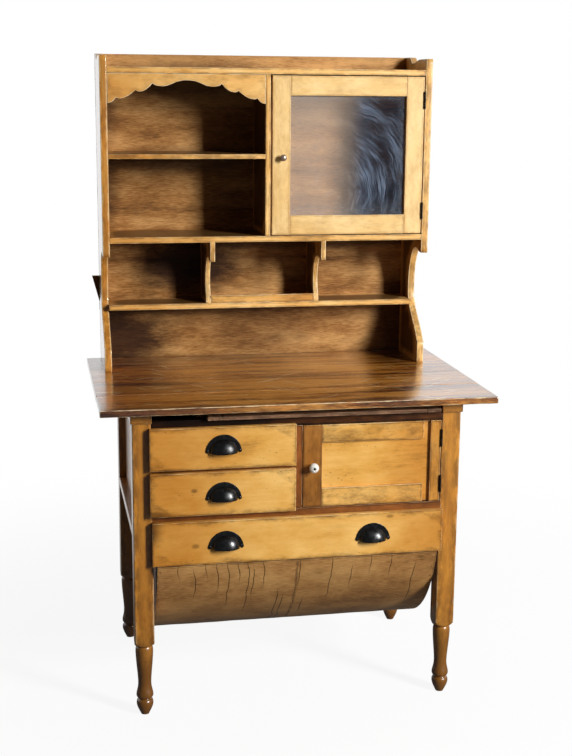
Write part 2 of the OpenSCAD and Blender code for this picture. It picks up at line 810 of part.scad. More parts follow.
module upper_drawer_front() { drawer_front(upper_front, upper_pull_z); }
module upper_drawer_sides() { drawer_sides(upper_open); }
module upper_drawer_back() { drawer_back(upper_open); }
module upper_drawer_bottom() { color("burlywood") place() drawer_bottom_panel(upper_open); }
module upper_drawer_pull() { color("dimgray") place() cup_pull(drawer_pull_x, front_d0, upper_pull_z); }
module lower_drawer_front() { drawer_front(lower_front, lower_pull_z); }
module lower_drawer_sides() { drawer_sides(lower_open); }
module lower_drawer_back() { drawer_back(lower_open); }
module lower_drawer_bottom() { color("burlywood") place() drawer_bottom_panel(lower_open); }
module lower_drawer_pull() { color("dimgray") place() cup_pull(drawer_pull_x, front_d0, lower_pull_z); }

// ---- flour bin: a drawer front with a round belly hung under it ----

bin_x = leg_in + bin_lap_leg;
bin_pull_z = (bin_front_z0 + bin_front_z1) / 2 - pull_down;
bin_pull_x = [-bin_x + bin_pull_set, bin_x - bin_pull_set];
bin_joint_x = -5;

// The inside of the belly: everything within the sheets, as (depth, height)
module belly_shape(r) {
    intersection() {
        translate([belly_d, belly_z]) circle(r, $fn = 128);
        translate([0, 0]) square([bin_back_d, belly_top]);
    }
}

// A shaped board of the bin: the belly's curve below, squared behind the front above
module bin_board(x0, x1, d1, z1) {
    cut_across(x0, x1) {
        intersection() {
            belly_shape(belly_r - sheet_t);
            square([d1, worktop_top]);
        }
        translate([front_d1, belly_top - eps]) square([d1 - front_d1, z1 - belly_top + eps]);
    }
}

module bin_front() {
    color("goldenrod") place() difference() {
        board([-bin_x, bin_x], [front_d0, front_d1], [bin_front_z0, bin_front_z1]);
        for (x = bin_pull_x) pull_holes(x, front_d0, bin_pull_z);
    }
}

module bin_ends() {
    color("sienna") place() both_sides() bin_board(bin_side - bin_end_t, bin_side, bin_back_d, bin_top);
}

module bin_divider() {
    color("sienna") place() bin_board(bin_joint_x - bin_end_t / 2, bin_joint_x + bin_end_t / 2,
        bin_back_d - bin_end_t, bin_top - bin_divider_down);
}

module bin_back() {
    color("sienna") place() intersection() {
        bin_board(-bin_side + bin_end_t, bin_side - bin_end_t, bin_back_d, bin_top);
        board([-bin_side, bin_side], [bin_back_d - bin_end_t, bin_back_d], [0, bin_top]);
    }
}

// Two bent sheets that meet on the divider's edge
module bin_belly() {
    seam = 0.4;
    color("gray") place() for (x = [[-bin_side, bin_joint_x - seam], [bin_joint_x + seam, bin_side]])
        cut_across(x[0], x[1]) difference() {
            belly_shape(belly_r);
            translate([belly_d, belly_z]) circle(belly_r - sheet_t, $fn = 128);
        }
}

module bin_cleats() {
    color("tan") place() both_sides()
        board([bin_side, leg_in - bin_side_play], [leg_set + bin_cleat_set, bin_back_d],
            [bin_cleat_z0, bin_cleat_z1]);
}

module bin_pulls() {
    color("dimgray") place() for (x = bin_pull_x) cup_pull(x, front_d0, bin_pull_z);
}

// ---- cupboard door: a panel with battens planted on it ----

door_face = leg_set + door_batten_t;
door_knob_x = door_x0 + door_stile_w / 2;
door_knob_z = (door_z0 + door_z1) / 2;

// Room for the closed leaf of a hinge in the edge of a door at x
module leaf_recess(x, d, zs, dir) {
    for (z = zs) board(dir < 0 ? [x - leaf_t, x + 1] : [x - 1, x + leaf_t],
        [d - 1, d + leaf_w + leaf_free], [z - hinge_h / 2 - leaf_play, z + hinge_h / 2 + leaf_play]);
}

module door_panel() {
    color("goldenrod") place() difference() {
        board([door_x0, door_x1], [door_face, door_back], [door_z0, door_z1]);
        leaf_recess(door_x1, leg_set, door_hinge_z, -1);
        knob_hole(door_knob_x, leg_set, door_knob_z);
    }
}

module door_battens() {
    d = [leg_set, door_face];
    x = [door_x0 + door_stile_w + joint_gap, door_x1 - door_strip_w - door_bare];
    color("darkgoldenrod") place() {
        difference() {
            board([door_x0, door_x0 + door_stile_w], d, [door_z0, door_z1]);
            knob_hole(door_knob_x, leg_set, door_knob_z);
        }
        board(x, d, [door_z1 - door_batten_top, door_z1]);
        board(x, d, [door_z0, door_z0 + door_batten_low]);
        difference() {
            board([door_x1 - door_strip_w, door_x1], d, [door_z0, door_z1]);
            leaf_recess(door_x1, leg_set, door_hinge_z, -1);
        }
    }
}

knob_screw_r = 2;
knob_screw_l = 12;
knob_head_r = 3.4;
knob_head_h = 2;
knob_head_sunk = 0.4;

// Hole for a knob's screw
module knob_hole(x, d, z) {
    translate([x, d - 1, z]) rotate([-90, 0, 0])
        cylinder(h = knob_screw_l + 1, r = knob_screw_r + screw_gap);
}

// China knob held by a screw through its middle
module door_knob() {
    color("white") place() translate([door_knob_x, leg_set, door_knob_z]) rotate([90, 0, 0]) {
        difference() {
            rotate_extrude() polygon(knob_outline(knob_d, knob_out));
            translate([0, 0, -1]) cylinder(h = knob_out + 2, r = knob_screw_r + screw_gap);
            translate([0, 0, knob_out - knob_head_h]) cylinder(h = knob_out, r = knob_head_r + screw_gap);
        }
        translate([0, 0, -knob_screw_l])
            cylinder(h = knob_screw_l + knob_out - knob_head_h, r = knob_screw_r);
        translate([0, 0, knob_out - knob_head_h])
            cylinder(h = knob_head_h - knob_head_sunk, r = knob_head_r);
    }
}

// ---- hinges: the fixed leaf has the two outer knuckles, the door's leaf the middle one ----

// One knuckle about the pin's axis, from z0 to z1
module knuckle(z0, z1) {
    translate([0, 0, z0]) cylinder(h = z1 - z0, r = knuckle_r);
}

// A leaf beside the pin: dir 1 lies to the right of the pin, -1 to the left
module leaf(dir, gap) {
    x = dir > 0 ? [gap / 2, gap / 2 + leaf_t] : [-gap / 2 - leaf_t, -gap / 2];
    board(x, [0, knuckle_reach + leaf_w], [-hinge_h / 2, hinge_h / 2]);
}

// Room in a leaf for the other leaf's knuckles
module knuckle_room(z0, z1) {
    side = 2 * knuckle_r;
    board([-side, side], [-side, knuckle_r + knuckle_free], [z0, z1]);
}

// The leaf that stays with the frame, with the pin tight in its two knuckles
module hinge_fixed(x, d, z, gap) {
    inner = hinge_h / 6 + hinge_slack / 2;
    translate([x, d, z]) {
        knuckle(-hinge_h / 2, -inner);
        knuckle(inner, hinge_h / 2);
        difference() {
            leaf(1, gap);
            knuckle_room(-inner, inner);
        }
        translate([0, 0, -hinge_h / 2 - pin_end]) cylinder(h = hinge_h + 2 * pin_end, r = pin_r);
    }
}

// The leaf that turns with the door, its knuckle bored for the pin
module hinge_moving(x, d, z, gap) {
    inner = hinge_h / 6 - hinge_slack / 2;
    translate([x, d, z]) difference() {
        union() {
            knuckle(-inner, inner);
            difference() {
                leaf(-1, gap);
                knuckle_room(-hinge_h, -inner);
                knuckle_room(inner, hinge_h);
            }
        }
        translate([0, 0, -hinge_h]) cylinder(h = 2 * hinge_h, r = pin_r + pin_gap);
    }
}

module fixed_hinge_leaves() {
    color("dimgray") place() {
        for (z = door_hinge_z) hinge_fixed(door_pin_x, door_pin_d, z, door_gap);
        for (z = glass_hinge_z) hinge_fixed(glass_pin_x, glass_pin_d, z, glass_door_gap);
    }
}

module door_hinge_leaves() {
    color("dimgray") place() for (z = door_hinge_z) hinge_moving(door_pin_x, door_pin_d, z, door_gap);
}

module glass_door_hinge_leaves() {
    color("dimgray") place()
        for (z = glass_hinge_z) hinge_moving(glass_pin_x, glass_pin_d, z, glass_door_gap);
}

// ---- hutch ----

// Front edge of a board of the hutch: straight above, hollowed below to let hands reach the worktop.
// drop: lower end of the straight part; hollow: deepest point; foot: set back of the lowest part
function side_front(drop, hollow, foot, foot_top) = let (v = (drop - foot_top) / 246) concat(
    [[hutch_front, drop], [hutch_front + 10, drop]],
    curve([[hutch_front + 10, drop], [hutch_front + 24, drop], [hutch_front + 34, drop + 9],
        [hutch_front + 49, drop + 9]], 5),
    curve([[hutch_front + 49, drop + 9], [hutch_front + hollow - 24, drop + 9],
        [hutch_front + hollow, drop - 46 * v], [hutch_front + hollow, drop - 98 * v]]),
    curve([[hutch_front + hollow, drop - 118 * v], [hutch_front + hollow, foot_top + 76 * v],
        [hutch_front + 39, foot_top + 45 * v], [hutch_front + foot + 5, foot_top]], 10),
    [[hutch_front + foot, foot_top]]);

// Top edge of the gallery's sides, from the back forward; its waves stretch with the side's depth
function gallery_edge() = let (u = hutch_d / 195, dip_z = gallery_z - gallery_dip) concat(
    curve([[back_d0 - 28 * u, gallery_z], [back_d0 - 48 * u, gallery_z], [back_d0 - 46 * u, dip_z],
        [back_d0 - 66 * u, dip_z]]),
    curve([[back_d0 - 66 * u, dip_z], [back_d0 - 100 * u, dip_z],
        [back_d0 - 105 * u, gallery_z - gallery_low], [back_d0 - 138 * u, gallery_z - gallery_low]]));

// A whole side as (depth, height)
module side_shape() {
    polygon(concat(
        side_front(worktop_top + straight_up, hollow_set, foot_set, worktop_top + foot_h),
        [[hutch_front + foot_set, worktop_top], [back_d0, worktop_top], [back_d0, gallery_z]],
        gallery_edge(),
        [[hutch_front, gallery_z - gallery_low]]));
}

// The boards that are let into the sides; x0 and x1 are the inner faces of the sides
module let_in_boards(x0, x1) {
    board([x0 - housing, x1 + housing], [hutch_front, back_d0], [hutch_top_z0, hutch_top_z1]);
    board([x0 - housing, x1 + housing], [hutch_front, back_d0], [hutch_bottom_z0, hutch_bottom_z1]);
    board([x0 - housing, hutch_part_x0], [hutch_front, back_d0], [mid_shelf_z1 - mid_shelf_t, mid_shelf_z1]);
    board([x0 - housing, x1 + housing], [hole_front, back_d0], [hole_shelf_z0, hole_shelf_z1]);
}

module hutch_side_left() {
    color("goldenrod") place() difference() {
        cut_across(side_out_l, side_in_l) side_shape();
        let_in_boards(side_in_l, side_in_r);
    }
}

module hutch_side_right() {
    color("goldenrod") place() difference() {
        cut_across(side_in_r, side_out_r) side_shape();
        let_in_boards(side_in_l, side_in_r);
        leaf_recess(side_in_r, hutch_front, glass_hinge_z, 1);
    }
}

module hutch_top() {
    color("goldenrod") place() board([side_in_l - housing, side_in_r + housing], [hutch_front, back_d0],
        [hutch_top_z0, hutch_top_z1]);
}

module hutch_bottom() {
    color("goldenrod") place() difference() {
        board([side_in_l - housing, side_in_r + housing], [hutch_front, back_d0],
            [hutch_bottom_z0, hutch_bottom_z1]);
        for (x = [-divider_left, divider_right])
            board([x - divider_t / 2, x + divider_t / 2], [hutch_front - 1, back_d0 + 1],
                [hutch_bottom_z0 - 1, hutch_bottom_z0 + board_notch]);
    }
}

module middle_shelf() {
    color("goldenrod") place() board([side_in_l - housing, hutch_part_x0], [hutch_front, back_d0],
        [mid_shelf_z1 - mid_shelf_t, mid_shelf_z1]);
}

// Horizontal boards that close the hutch behind and stand up as the gallery's back
module hutch_back() {
    board_h = (gallery_z - worktop_top) / back_boards;
    color("sienna") place() difference() {
        board([side_out_l, side_out_r], [back_d0, worktop_d], [worktop_top, gallery_z]);
        for (i = [1:back_boards - 1]) cut_across(side_out_l - 1, side_out_r + 1)
            translate([back_d0, worktop_top + i * board_h])
                polygon([[-eps, -seam_w / 2], [-eps, seam_w / 2], [seam_deep, 0]]);
    }
}

module rear_batten() {
    z1 = worktop_top + batten_up;
    z0 = z1 - batten_h;
    color("sienna") place() cut_along(worktop_d, worktop_d + batten_t) polygon([
        [side_out_l - batten_out, z1], [side_out_r + batten_out, z1], [side_out_r, z1 - batten_splay],
        [side_out_r, z0], [side_out_l, z0], [side_out_l, z1 - batten_splay]]);
}

module hutch_partition() {
    color("goldenrod") place() board([hutch_part_x0, hutch_part_x1], [hutch_front, back_d0],
        [hutch_bottom_z1, hutch_top_z0]);
}

// Half of the scalloped edge, from the end to the peak: (distance from the end, depth below the top).
// Two hanging lobes, then an ogee up to a pointed arch. The lobes widen with the board.
function scallops(half, h, rise) = let (u = half / 204) concat(
    curve([[0, h], [9 * u, h], [17 * u, h - 5], [21 * u, h - 14]], 5),
    curve([[21 * u, h - 14], [26 * u, h - 9], [46 * u, h - 8.5], [71 * u, h - 32.5]]),
    curve([[71 * u, h - 32.5], [76 * u, h - 27], [95 * u, h - 24], [114 * u, h - 49.5]]),
    curve([[114 * u, h - 49.5], [118 * u, h - 44.5], [128 * u, h - 42.5], [140 * u, h - 42.5]], 5),
    curve([[140 * u, h - 42.5], [162 * u, h - 42.5], [172 * u, h - rise], [half, h - rise]]));

module valance() {
    half = (hutch_part_x0 - side_in_l) / 2;
    edge = scallops(half, valance_h, valance_rise);
    n = len(edge);
    color("goldenrod") place() cut_along(hutch_front, hutch_front + valance_t) polygon(concat(
        [for (p = edge) [side_in_l + p[0], hutch_top_z0 - p[1]]],
        [for (i = [n - 2:-1:0]) [hutch_part_x0 - edge[i][0], hutch_top_z0 - edge[i][1]]],
        [[hutch_part_x0, hutch_top_z0], [side_in_l, hutch_top_z0]]));
}

// ---- pigeonholes ----

// A divider stands on the shelf and is let into the board above
module divider_board(x) {
    top = hutch_bottom_z0 + board_notch;
    drop = hutch_bottom_z0 - divider_drop;
    deep = hutch_front + hole_shelf_set + 18;
    v = (drop - hole_shelf_z1) / 124;
    color("goldenrod") place() cut_across(x - divider_t / 2, x + divider_t / 2) polygon(concat(
        [[hutch_front, top], [hutch_front, drop], [hutch_front + 8, drop]],
        curve([[hutch_front + 8, drop], [hutch_front + 20, drop], [hutch_front + 30, drop + 7],
            [hutch_front + 44, drop + 7]], 5),
        curve([[hutch_front + 44, drop + 7], [deep - 22, drop + 7], [deep, drop - 26 * v],
            [deep, drop - 62 * v]]),
        curve([[deep, drop - 62 * v], [deep, hole_shelf_z1 + 38 * v],
            [hole_front + 4, hole_shelf_z1 + 24 * v], [hole_front + 1, hole_shelf_z1]]),
        [[back_d0, hole_shelf_z1], [back_d0, top]]));
}

module divider_left_board() { divider_board(-divider_left); }
module divider_right_board() { divider_board(divider_right); }

module pigeonhole_shelf() {
    color("goldenrod") place() board([side_in_l - housing, side_in_r + housing], [hole_front, back_d0],
        [hole_shelf_z0, hole_shelf_z1]);
}

module pigeonhole_lip() {
    color("goldenrod") place() board([-divider_left + divider_t / 2, divider_right - divider_t / 2],
        [hole_front + 2, hole_front + 2 + lip_t], [hole_shelf_z1, hole_shelf_z1 + lip_h]);
}

// ---- glazed door ----

// The space that the glass and its beads take behind the frame's front
module glass_rebate() {
    board([glass_x0 + glass_stile_w - rebate_w, glass_x1 - glass_stile_w + rebate_w],
        [pane_front, glass_back + 1],
        [glass_z0 + glass_rail_h - rebate_w, glass_z1 - glass_rail_h + rebate_w]);
}

// The tenons of the two rails
module glass_tenons() {
    mid = hutch_front + pane_set / 2;
    haunch = 8;
    shoulder = 2;
    for (z = [[glass_z0 + haunch, glass_z0 + glass_rail_h - rebate_w - shoulder],
        [glass_z1 - glass_rail_h + rebate_w + shoulder, glass_z1 - haunch]])
        board([glass_x0 + glass_stile_w - glass_tenon_l, glass_x1 - glass_stile_w + glass_tenon_l],
            [mid, mid + glass_tenon_t], z);
}

module glass_door_stiles() {
    color("burlywood") place() difference() {
        for (x = [[glass_x0, glass_x0 + glass_stile_w], [glass_x1 - glass_stile_w, glass_x1]])
            board(x, [hutch_front, glass_back], [glass_z0, glass_z1]);
        glass_rebate();
        glass_tenons();
        leaf_recess(glass_x1, hutch_front, glass_hinge_z, -1);
        knob_hole(glass_x0 + glass_knob_in, hutch_front, glass_knob_z);
    }
}

module glass_door_rails() {
    color("burlywood") place() {
        for (z = [[glass_z0, glass_z0 + glass_rail_h], [glass_z1 - glass_rail_h, glass_z1]])
            difference() {
                board([glass_x0 + glass_stile_w, glass_x1 - glass_stile_w], [hutch_front, glass_back], z);
                glass_rebate();
            }
        difference() {
            glass_tenons();
            board([glass_x0 + glass_stile_w, glass_x1 - glass_stile_w], [0, worktop_d], [0, gallery_z]);
        }
    }
}

module glass_pane() {
    fit = 0.5;
    color("lightblue") place() board(
        [glass_x0 + glass_stile_w - rebate_w + fit, glass_x1 - glass_stile_w + rebate_w - fit],
        [pane_front, pane_front + pane_t],
        [glass_z0 + glass_rail_h - rebate_w + fit, glass_z1 - glass_rail_h + rebate_w - fit]);
}

module glazing_beads() {
    x0 = glass_x0 + glass_stile_w - rebate_w;
    x1 = glass_x1 - glass_stile_w + rebate_w;
    z0 = glass_z0 + glass_rail_h - rebate_w;
    z1 = glass_z1 - glass_rail_h + rebate_w;
    d = [pane_front + pane_t, min(glass_back, pane_front + pane_t + bead_t)];
    fit = 0.2;
    color("burlywood") place() {
        for (x = [x0, x1 - bead_t]) board([x, x + bead_t], d, [z0, z1]);
        for (z = [z0, z1 - bead_t]) board([x0 + bead_t + fit, x1 - bead_t - fit], d, [z, z + bead_t]);
    }
}

glass_knob_in = 27;
glass_knob_z = (glass_z0 + glass_z1) / 2 - 4;

module glass_door_knob() {
    x = glass_x0 + glass_knob_in;
    color("dimgray") place() {
        turned_forward(x, hutch_front, glass_knob_z) polygon(knob_outline(small_knob_d, small_knob_out));
        turned_forward(x, hutch_front + knob_screw_l, glass_knob_z)
            square([knob_screw_r, knob_screw_l + eps]);
    }
}

worktop();
bearers();
leg_front_left();
leg_front_right();
leg_rear_left();
leg_rear_right();
top_rail();
drawer_rail();
middle_rail();
centre_stile();
side_panels();
lower_rails();
table_back();
partition();
cupboard_floor();
drawer_runners();
bin_runners();
bread_guides();
bread_board();
upper_drawer_front();
upper_drawer_sides();
upper_drawer_back();
upper_drawer_bottom();
upper_drawer_pull();
lower_drawer_front();
lower_drawer_sides();
lower_drawer_back();
lower_drawer_bottom();
lower_drawer_pull();
bin_front();
bin_ends();
bin_back();
bin_divider();
bin_belly();
bin_cleats();
bin_pulls();
door_panel();
door_battens();
door_knob();
door_hinge_leaves();
hutch_side_left();
hutch_side_right();
hutch_top();
hutch_back();
rear_batten();
hutch_partition();
middle_shelf();
hutch_bottom();
valance();
divider_left_board();
divider_right_board();
pigeonhole_shelf();
pigeonhole_lip();
glass_door_stiles();
glass_door_rails();
glass_pane();
glazing_beads();
glass_door_knob();
glass_door_hinge_leaves();
fixed_hinge_leaves();
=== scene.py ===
"""Dresses the bakers cabinet: worn boards, turned legs, a bent wooden belly, iron and china.

Sizes are in millimetres as in the part's source: x across from halfway between the legs, depth
behind the worktop's front edge, z above the floor. Stock.place() turns them into the metres of
the shared frame.
"""
import logging
import math
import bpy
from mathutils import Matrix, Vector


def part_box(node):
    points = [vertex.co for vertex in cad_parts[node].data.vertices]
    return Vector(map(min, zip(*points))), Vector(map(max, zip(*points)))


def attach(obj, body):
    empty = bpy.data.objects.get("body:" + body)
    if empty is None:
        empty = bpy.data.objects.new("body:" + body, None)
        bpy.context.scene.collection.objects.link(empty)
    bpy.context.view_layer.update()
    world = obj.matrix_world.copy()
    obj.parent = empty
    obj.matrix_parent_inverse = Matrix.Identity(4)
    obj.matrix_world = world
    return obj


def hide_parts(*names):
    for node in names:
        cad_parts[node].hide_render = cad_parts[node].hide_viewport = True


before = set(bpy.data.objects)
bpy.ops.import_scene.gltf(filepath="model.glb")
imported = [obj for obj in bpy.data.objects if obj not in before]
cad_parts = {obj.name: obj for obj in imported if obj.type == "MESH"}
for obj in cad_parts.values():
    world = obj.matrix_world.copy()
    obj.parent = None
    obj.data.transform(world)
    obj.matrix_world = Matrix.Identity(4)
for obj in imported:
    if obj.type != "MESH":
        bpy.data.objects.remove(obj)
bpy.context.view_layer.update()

import zlib
from abc import ABC, abstractmethod
from dataclasses import dataclass
from enum import Enum
from typing import Optional, Sequence, Union

import bpy
import numpy as np
from mathutils import Matrix, Vector
from mathutils.geometry import delaunay_2d_cdt

LOG = logging.getLogger("bakers_cabinet")
MM = 0.001
ZERO = (3.0, 323.5, 0.0)

Socket = bpy.types.NodeSocket
Triple = tuple[float, float, float]
Colour = Triple
Span = tuple[float, float]
Value = Union[float, Socket]


class Grain(Enum):
    """The direction that a board's fibres run in."""

    ACROSS = 0
    DEEP = 1
    UPRIGHT = 2


def seed_of(text: str) -> np.random.Generator:
    """A random generator that is the same each run for the same words."""
    return np.random.default_rng(zlib.crc32(text.encode()))


def srgb(code: str) -> Colour:
    """The scene-linear colour for a six-digit sRGB code such as "b98a45".

    Args:
        code: six hexadecimal digits.

    Returns:
        Red, green and blue.
    """
    parts = np.array([int(code[i : i + 2], 16) for i in (0, 2, 4)]) / 255.0
    linear = np.where(parts <= 0.04045, parts / 12.92, ((parts + 0.055) / 1.055) ** 2.4)
    return float(linear[0]), float(linear[1]), float(linear[2])


# ---------------------------------------------------------------- finishes


class Bench:
    """Lays the nodes of one material and links them."""

    def __init__(self, name: str) -> None:
        """Starts an empty material with an output node.

        Args:
            name: the material's name.
        """
        self.material = bpy.data.materials.new(name)
        self.material.use_nodes = True
        self.tree = self.material.node_tree
        self.tree.nodes.clear()
        self.output = self.node("ShaderNodeOutputMaterial")

    def node(self, kind: str, **settings: object) -> bpy.types.Node:
        """Adds a node of that kind and sets its plain settings.

        Args:
            kind: the node's type.
            **settings: its properties.

        Returns:
            The node.
        """
        made = self.tree.nodes.new(kind)
        made.location = (220 * (len(self.tree.nodes) % 12), -260 * (len(self.tree.nodes) // 12))
        for key, value in settings.items():
            setattr(made, key, value)
        return made

    def plug(self, socket: Socket, value: object) -> None:
        """Links a socket to value, or sets it where value is a number or a colour.

        Args:
            socket: an input.
            value: a socket, number or colour.
        """
        if isinstance(value, Socket):
            self.tree.links.new(value, socket)
        elif isinstance(value, tuple) and len(value) == 3 and socket.type == "RGBA":
            socket.default_value = (*value, 1.0)
        else:
            socket.default_value = value

    def attribute(self, name: str, output: str = "Fac") -> Socket:
        """Reads a named attribute of the mesh."""
        return self.node("ShaderNodeAttribute", attribute_name=name).outputs[output]

    def position(self) -> Socket:
        """Object coordinates, which are the row frame's."""
        return self.node("ShaderNodeTexCoord").outputs["Object"]

    def math(self, kind: str, *values: Value, clamp: bool = False) -> Socket:
        """One Math node.

        Args:
            kind: the operation.
            *values: its inputs.
            clamp: whether to keep within 0 and 1.

        Returns:
            The node's output.
        """
        made = self.node("ShaderNodeMath", operation=kind, use_clamp=clamp)
        for i, value in enumerate(values):
            self.plug(made.inputs[i], value)
        return made.outputs[0]

    def vector(self, kind: str, a: object, b: object) -> Socket:
        """One Vector Math node, and its number where it gives one.

        Args:
            kind: the operation.
            a: its first input.
            b: its second input.

        Returns:
            The node's output.
        """
        made = self.node("ShaderNodeVectorMath", operation=kind)
        self.plug(made.inputs[0], a)
        self.plug(made.inputs[1], b)
        return made.outputs[1 if kind == "LENGTH" else 0]

    def parts(self, vector: Socket) -> list[Socket]:
        """The three parts of a vector.

        Args:
            vector: the vector to split.

        Returns:
            X, y and z.
        """
        made = self.node("ShaderNodeSeparateXYZ")
        self.plug(made.inputs[0], vector)
        return [made.outputs[0], made.outputs[1], made.outputs[2]]

    def whole(self, x: Value, y: Value, z: Value) -> Socket:
        """A vector from three parts.

        Args:
            x: first part.
            y: second part.
            z: third part.

        Returns:
            The node's output.
        """
        made = self.node("ShaderNodeCombineXYZ")
        for i, value in enumerate((x, y, z)):
            self.plug(made.inputs[i], value)
        return made.outputs[0]

    def noise(self, vector: object, scale: float, detail: float = 2.0, rough: float = 0.5,
              bend: float = 0.0) -> Socket:
        """Noise from 0 to 1 about 0.5.

        Args:
            vector: where it is read.
            scale: its scale.
            detail: its octaves.
            rough: the weight of the finer ones.
            bend: its distortion.

        Returns:
            The node's output.
        """
        made = self.node("ShaderNodeTexNoise")
        for key, value in (("Vector", vector), ("Scale", scale), ("Detail", detail),
                           ("Roughness", rough), ("Distortion", bend)):
            self.plug(made.inputs[key], value)
        return made.outputs[0]

    def step(self, value: Value, low: float, high: float, out: Span = (0.0, 1.0)
             ) -> Socket:
        """A smooth step: out[0] where value is under low, out[1] where it is over high.

        Args:
            value: what is compared.
            low: start of the step.
            high: end of the step.
            out: the results before and after it.

        Returns:
            The node's output.
        """
        made = self.node("ShaderNodeMapRange", interpolation_type="SMOOTHSTEP")
        for i, part in enumerate((value, low, high, out[0], out[1])):
            self.plug(made.inputs[i], part)
        return made.outputs[0]

    def mix(self, amount: Value, a: object, b: object, blend: str = "MIX"
            ) -> Socket:
        """Mixes two colours.

        Args:
            amount: the share of b.
            a: the first colour.
            b: the second colour.
            blend: how they blend.

        Returns:
            The node's output.
        """
        made = self.node("ShaderNodeMix", data_type="RGBA", blend_type=blend)
        self.plug(made.inputs[0], amount)
        self.plug(made.inputs[6], a)
        self.plug(made.inputs[7], b)
        return made.outputs[2]

    def ramp(self, value: Value, *stops: tuple[float, Colour]) -> Socket:
        """A colour ramp with those stops.

        Args:
            value: the place on the ramp.
            *stops: place and colour of each stop.

        Returns:
            The node's output.
        """
        made = self.node("ShaderNodeValToRGB")
        points = made.color_ramp.elements
        while len(points) < len(stops):
            points.new(0.5)
        for point, (place, colour) in zip(points, stops):
            point.position = place
            point.color = (*colour, 1.0)
        self.plug(made.inputs[0], value)
        return made.outputs[0]

    def bump(self, height: Value, depth: float, strength: float = 1.0) -> Socket:
        """A bumped normal; depth is the height of a full step in metres.

        Args:
            height: 0 to 1.
            depth: metres for a full step.
            strength: the share that shows.

        Returns:
            The node's output.
        """
        made = self.node("ShaderNodeBump")
        self.plug(made.inputs["Strength"], strength)
        self.plug(made.inputs["Distance"], depth)
        self.plug(made.inputs["Height"], height)
        return made.outputs[0]

    def surface(self, **sockets: object) -> bpy.types.Node:
        """Ends the material in a Principled shader with those sockets set or linked.

        Args:
            **sockets: values by socket name, with _ for a space.

        Returns:
            The shader node.
        """
        shader = self.node("ShaderNodeBsdfPrincipled")
        for key, value in sockets.items():
            self.plug(shader.inputs[key.replace("_", " ")], value)
        self.tree.links.new(shader.outputs[0], self.output.inputs[0])
        return shader


@dataclass(frozen=True)
class Finish(ABC):
    """What a piece is made of and how its surface has aged."""

    name: str

    @abstractmethod
    def lay(self, bench: Bench) -> None:
        """Lays this finish's nodes on an empty material."""

    def material(self) -> bpy.types.Material:
        """The material, made the first time it is asked for.

        Returns:
            The Blender material.
        """
        found = bpy.data.materials.get(f"{self.name}_finish")
        if found is None:
            bench = Bench(f"{self.name}_finish")
            self.lay(bench)
            found = bench.material
        return found


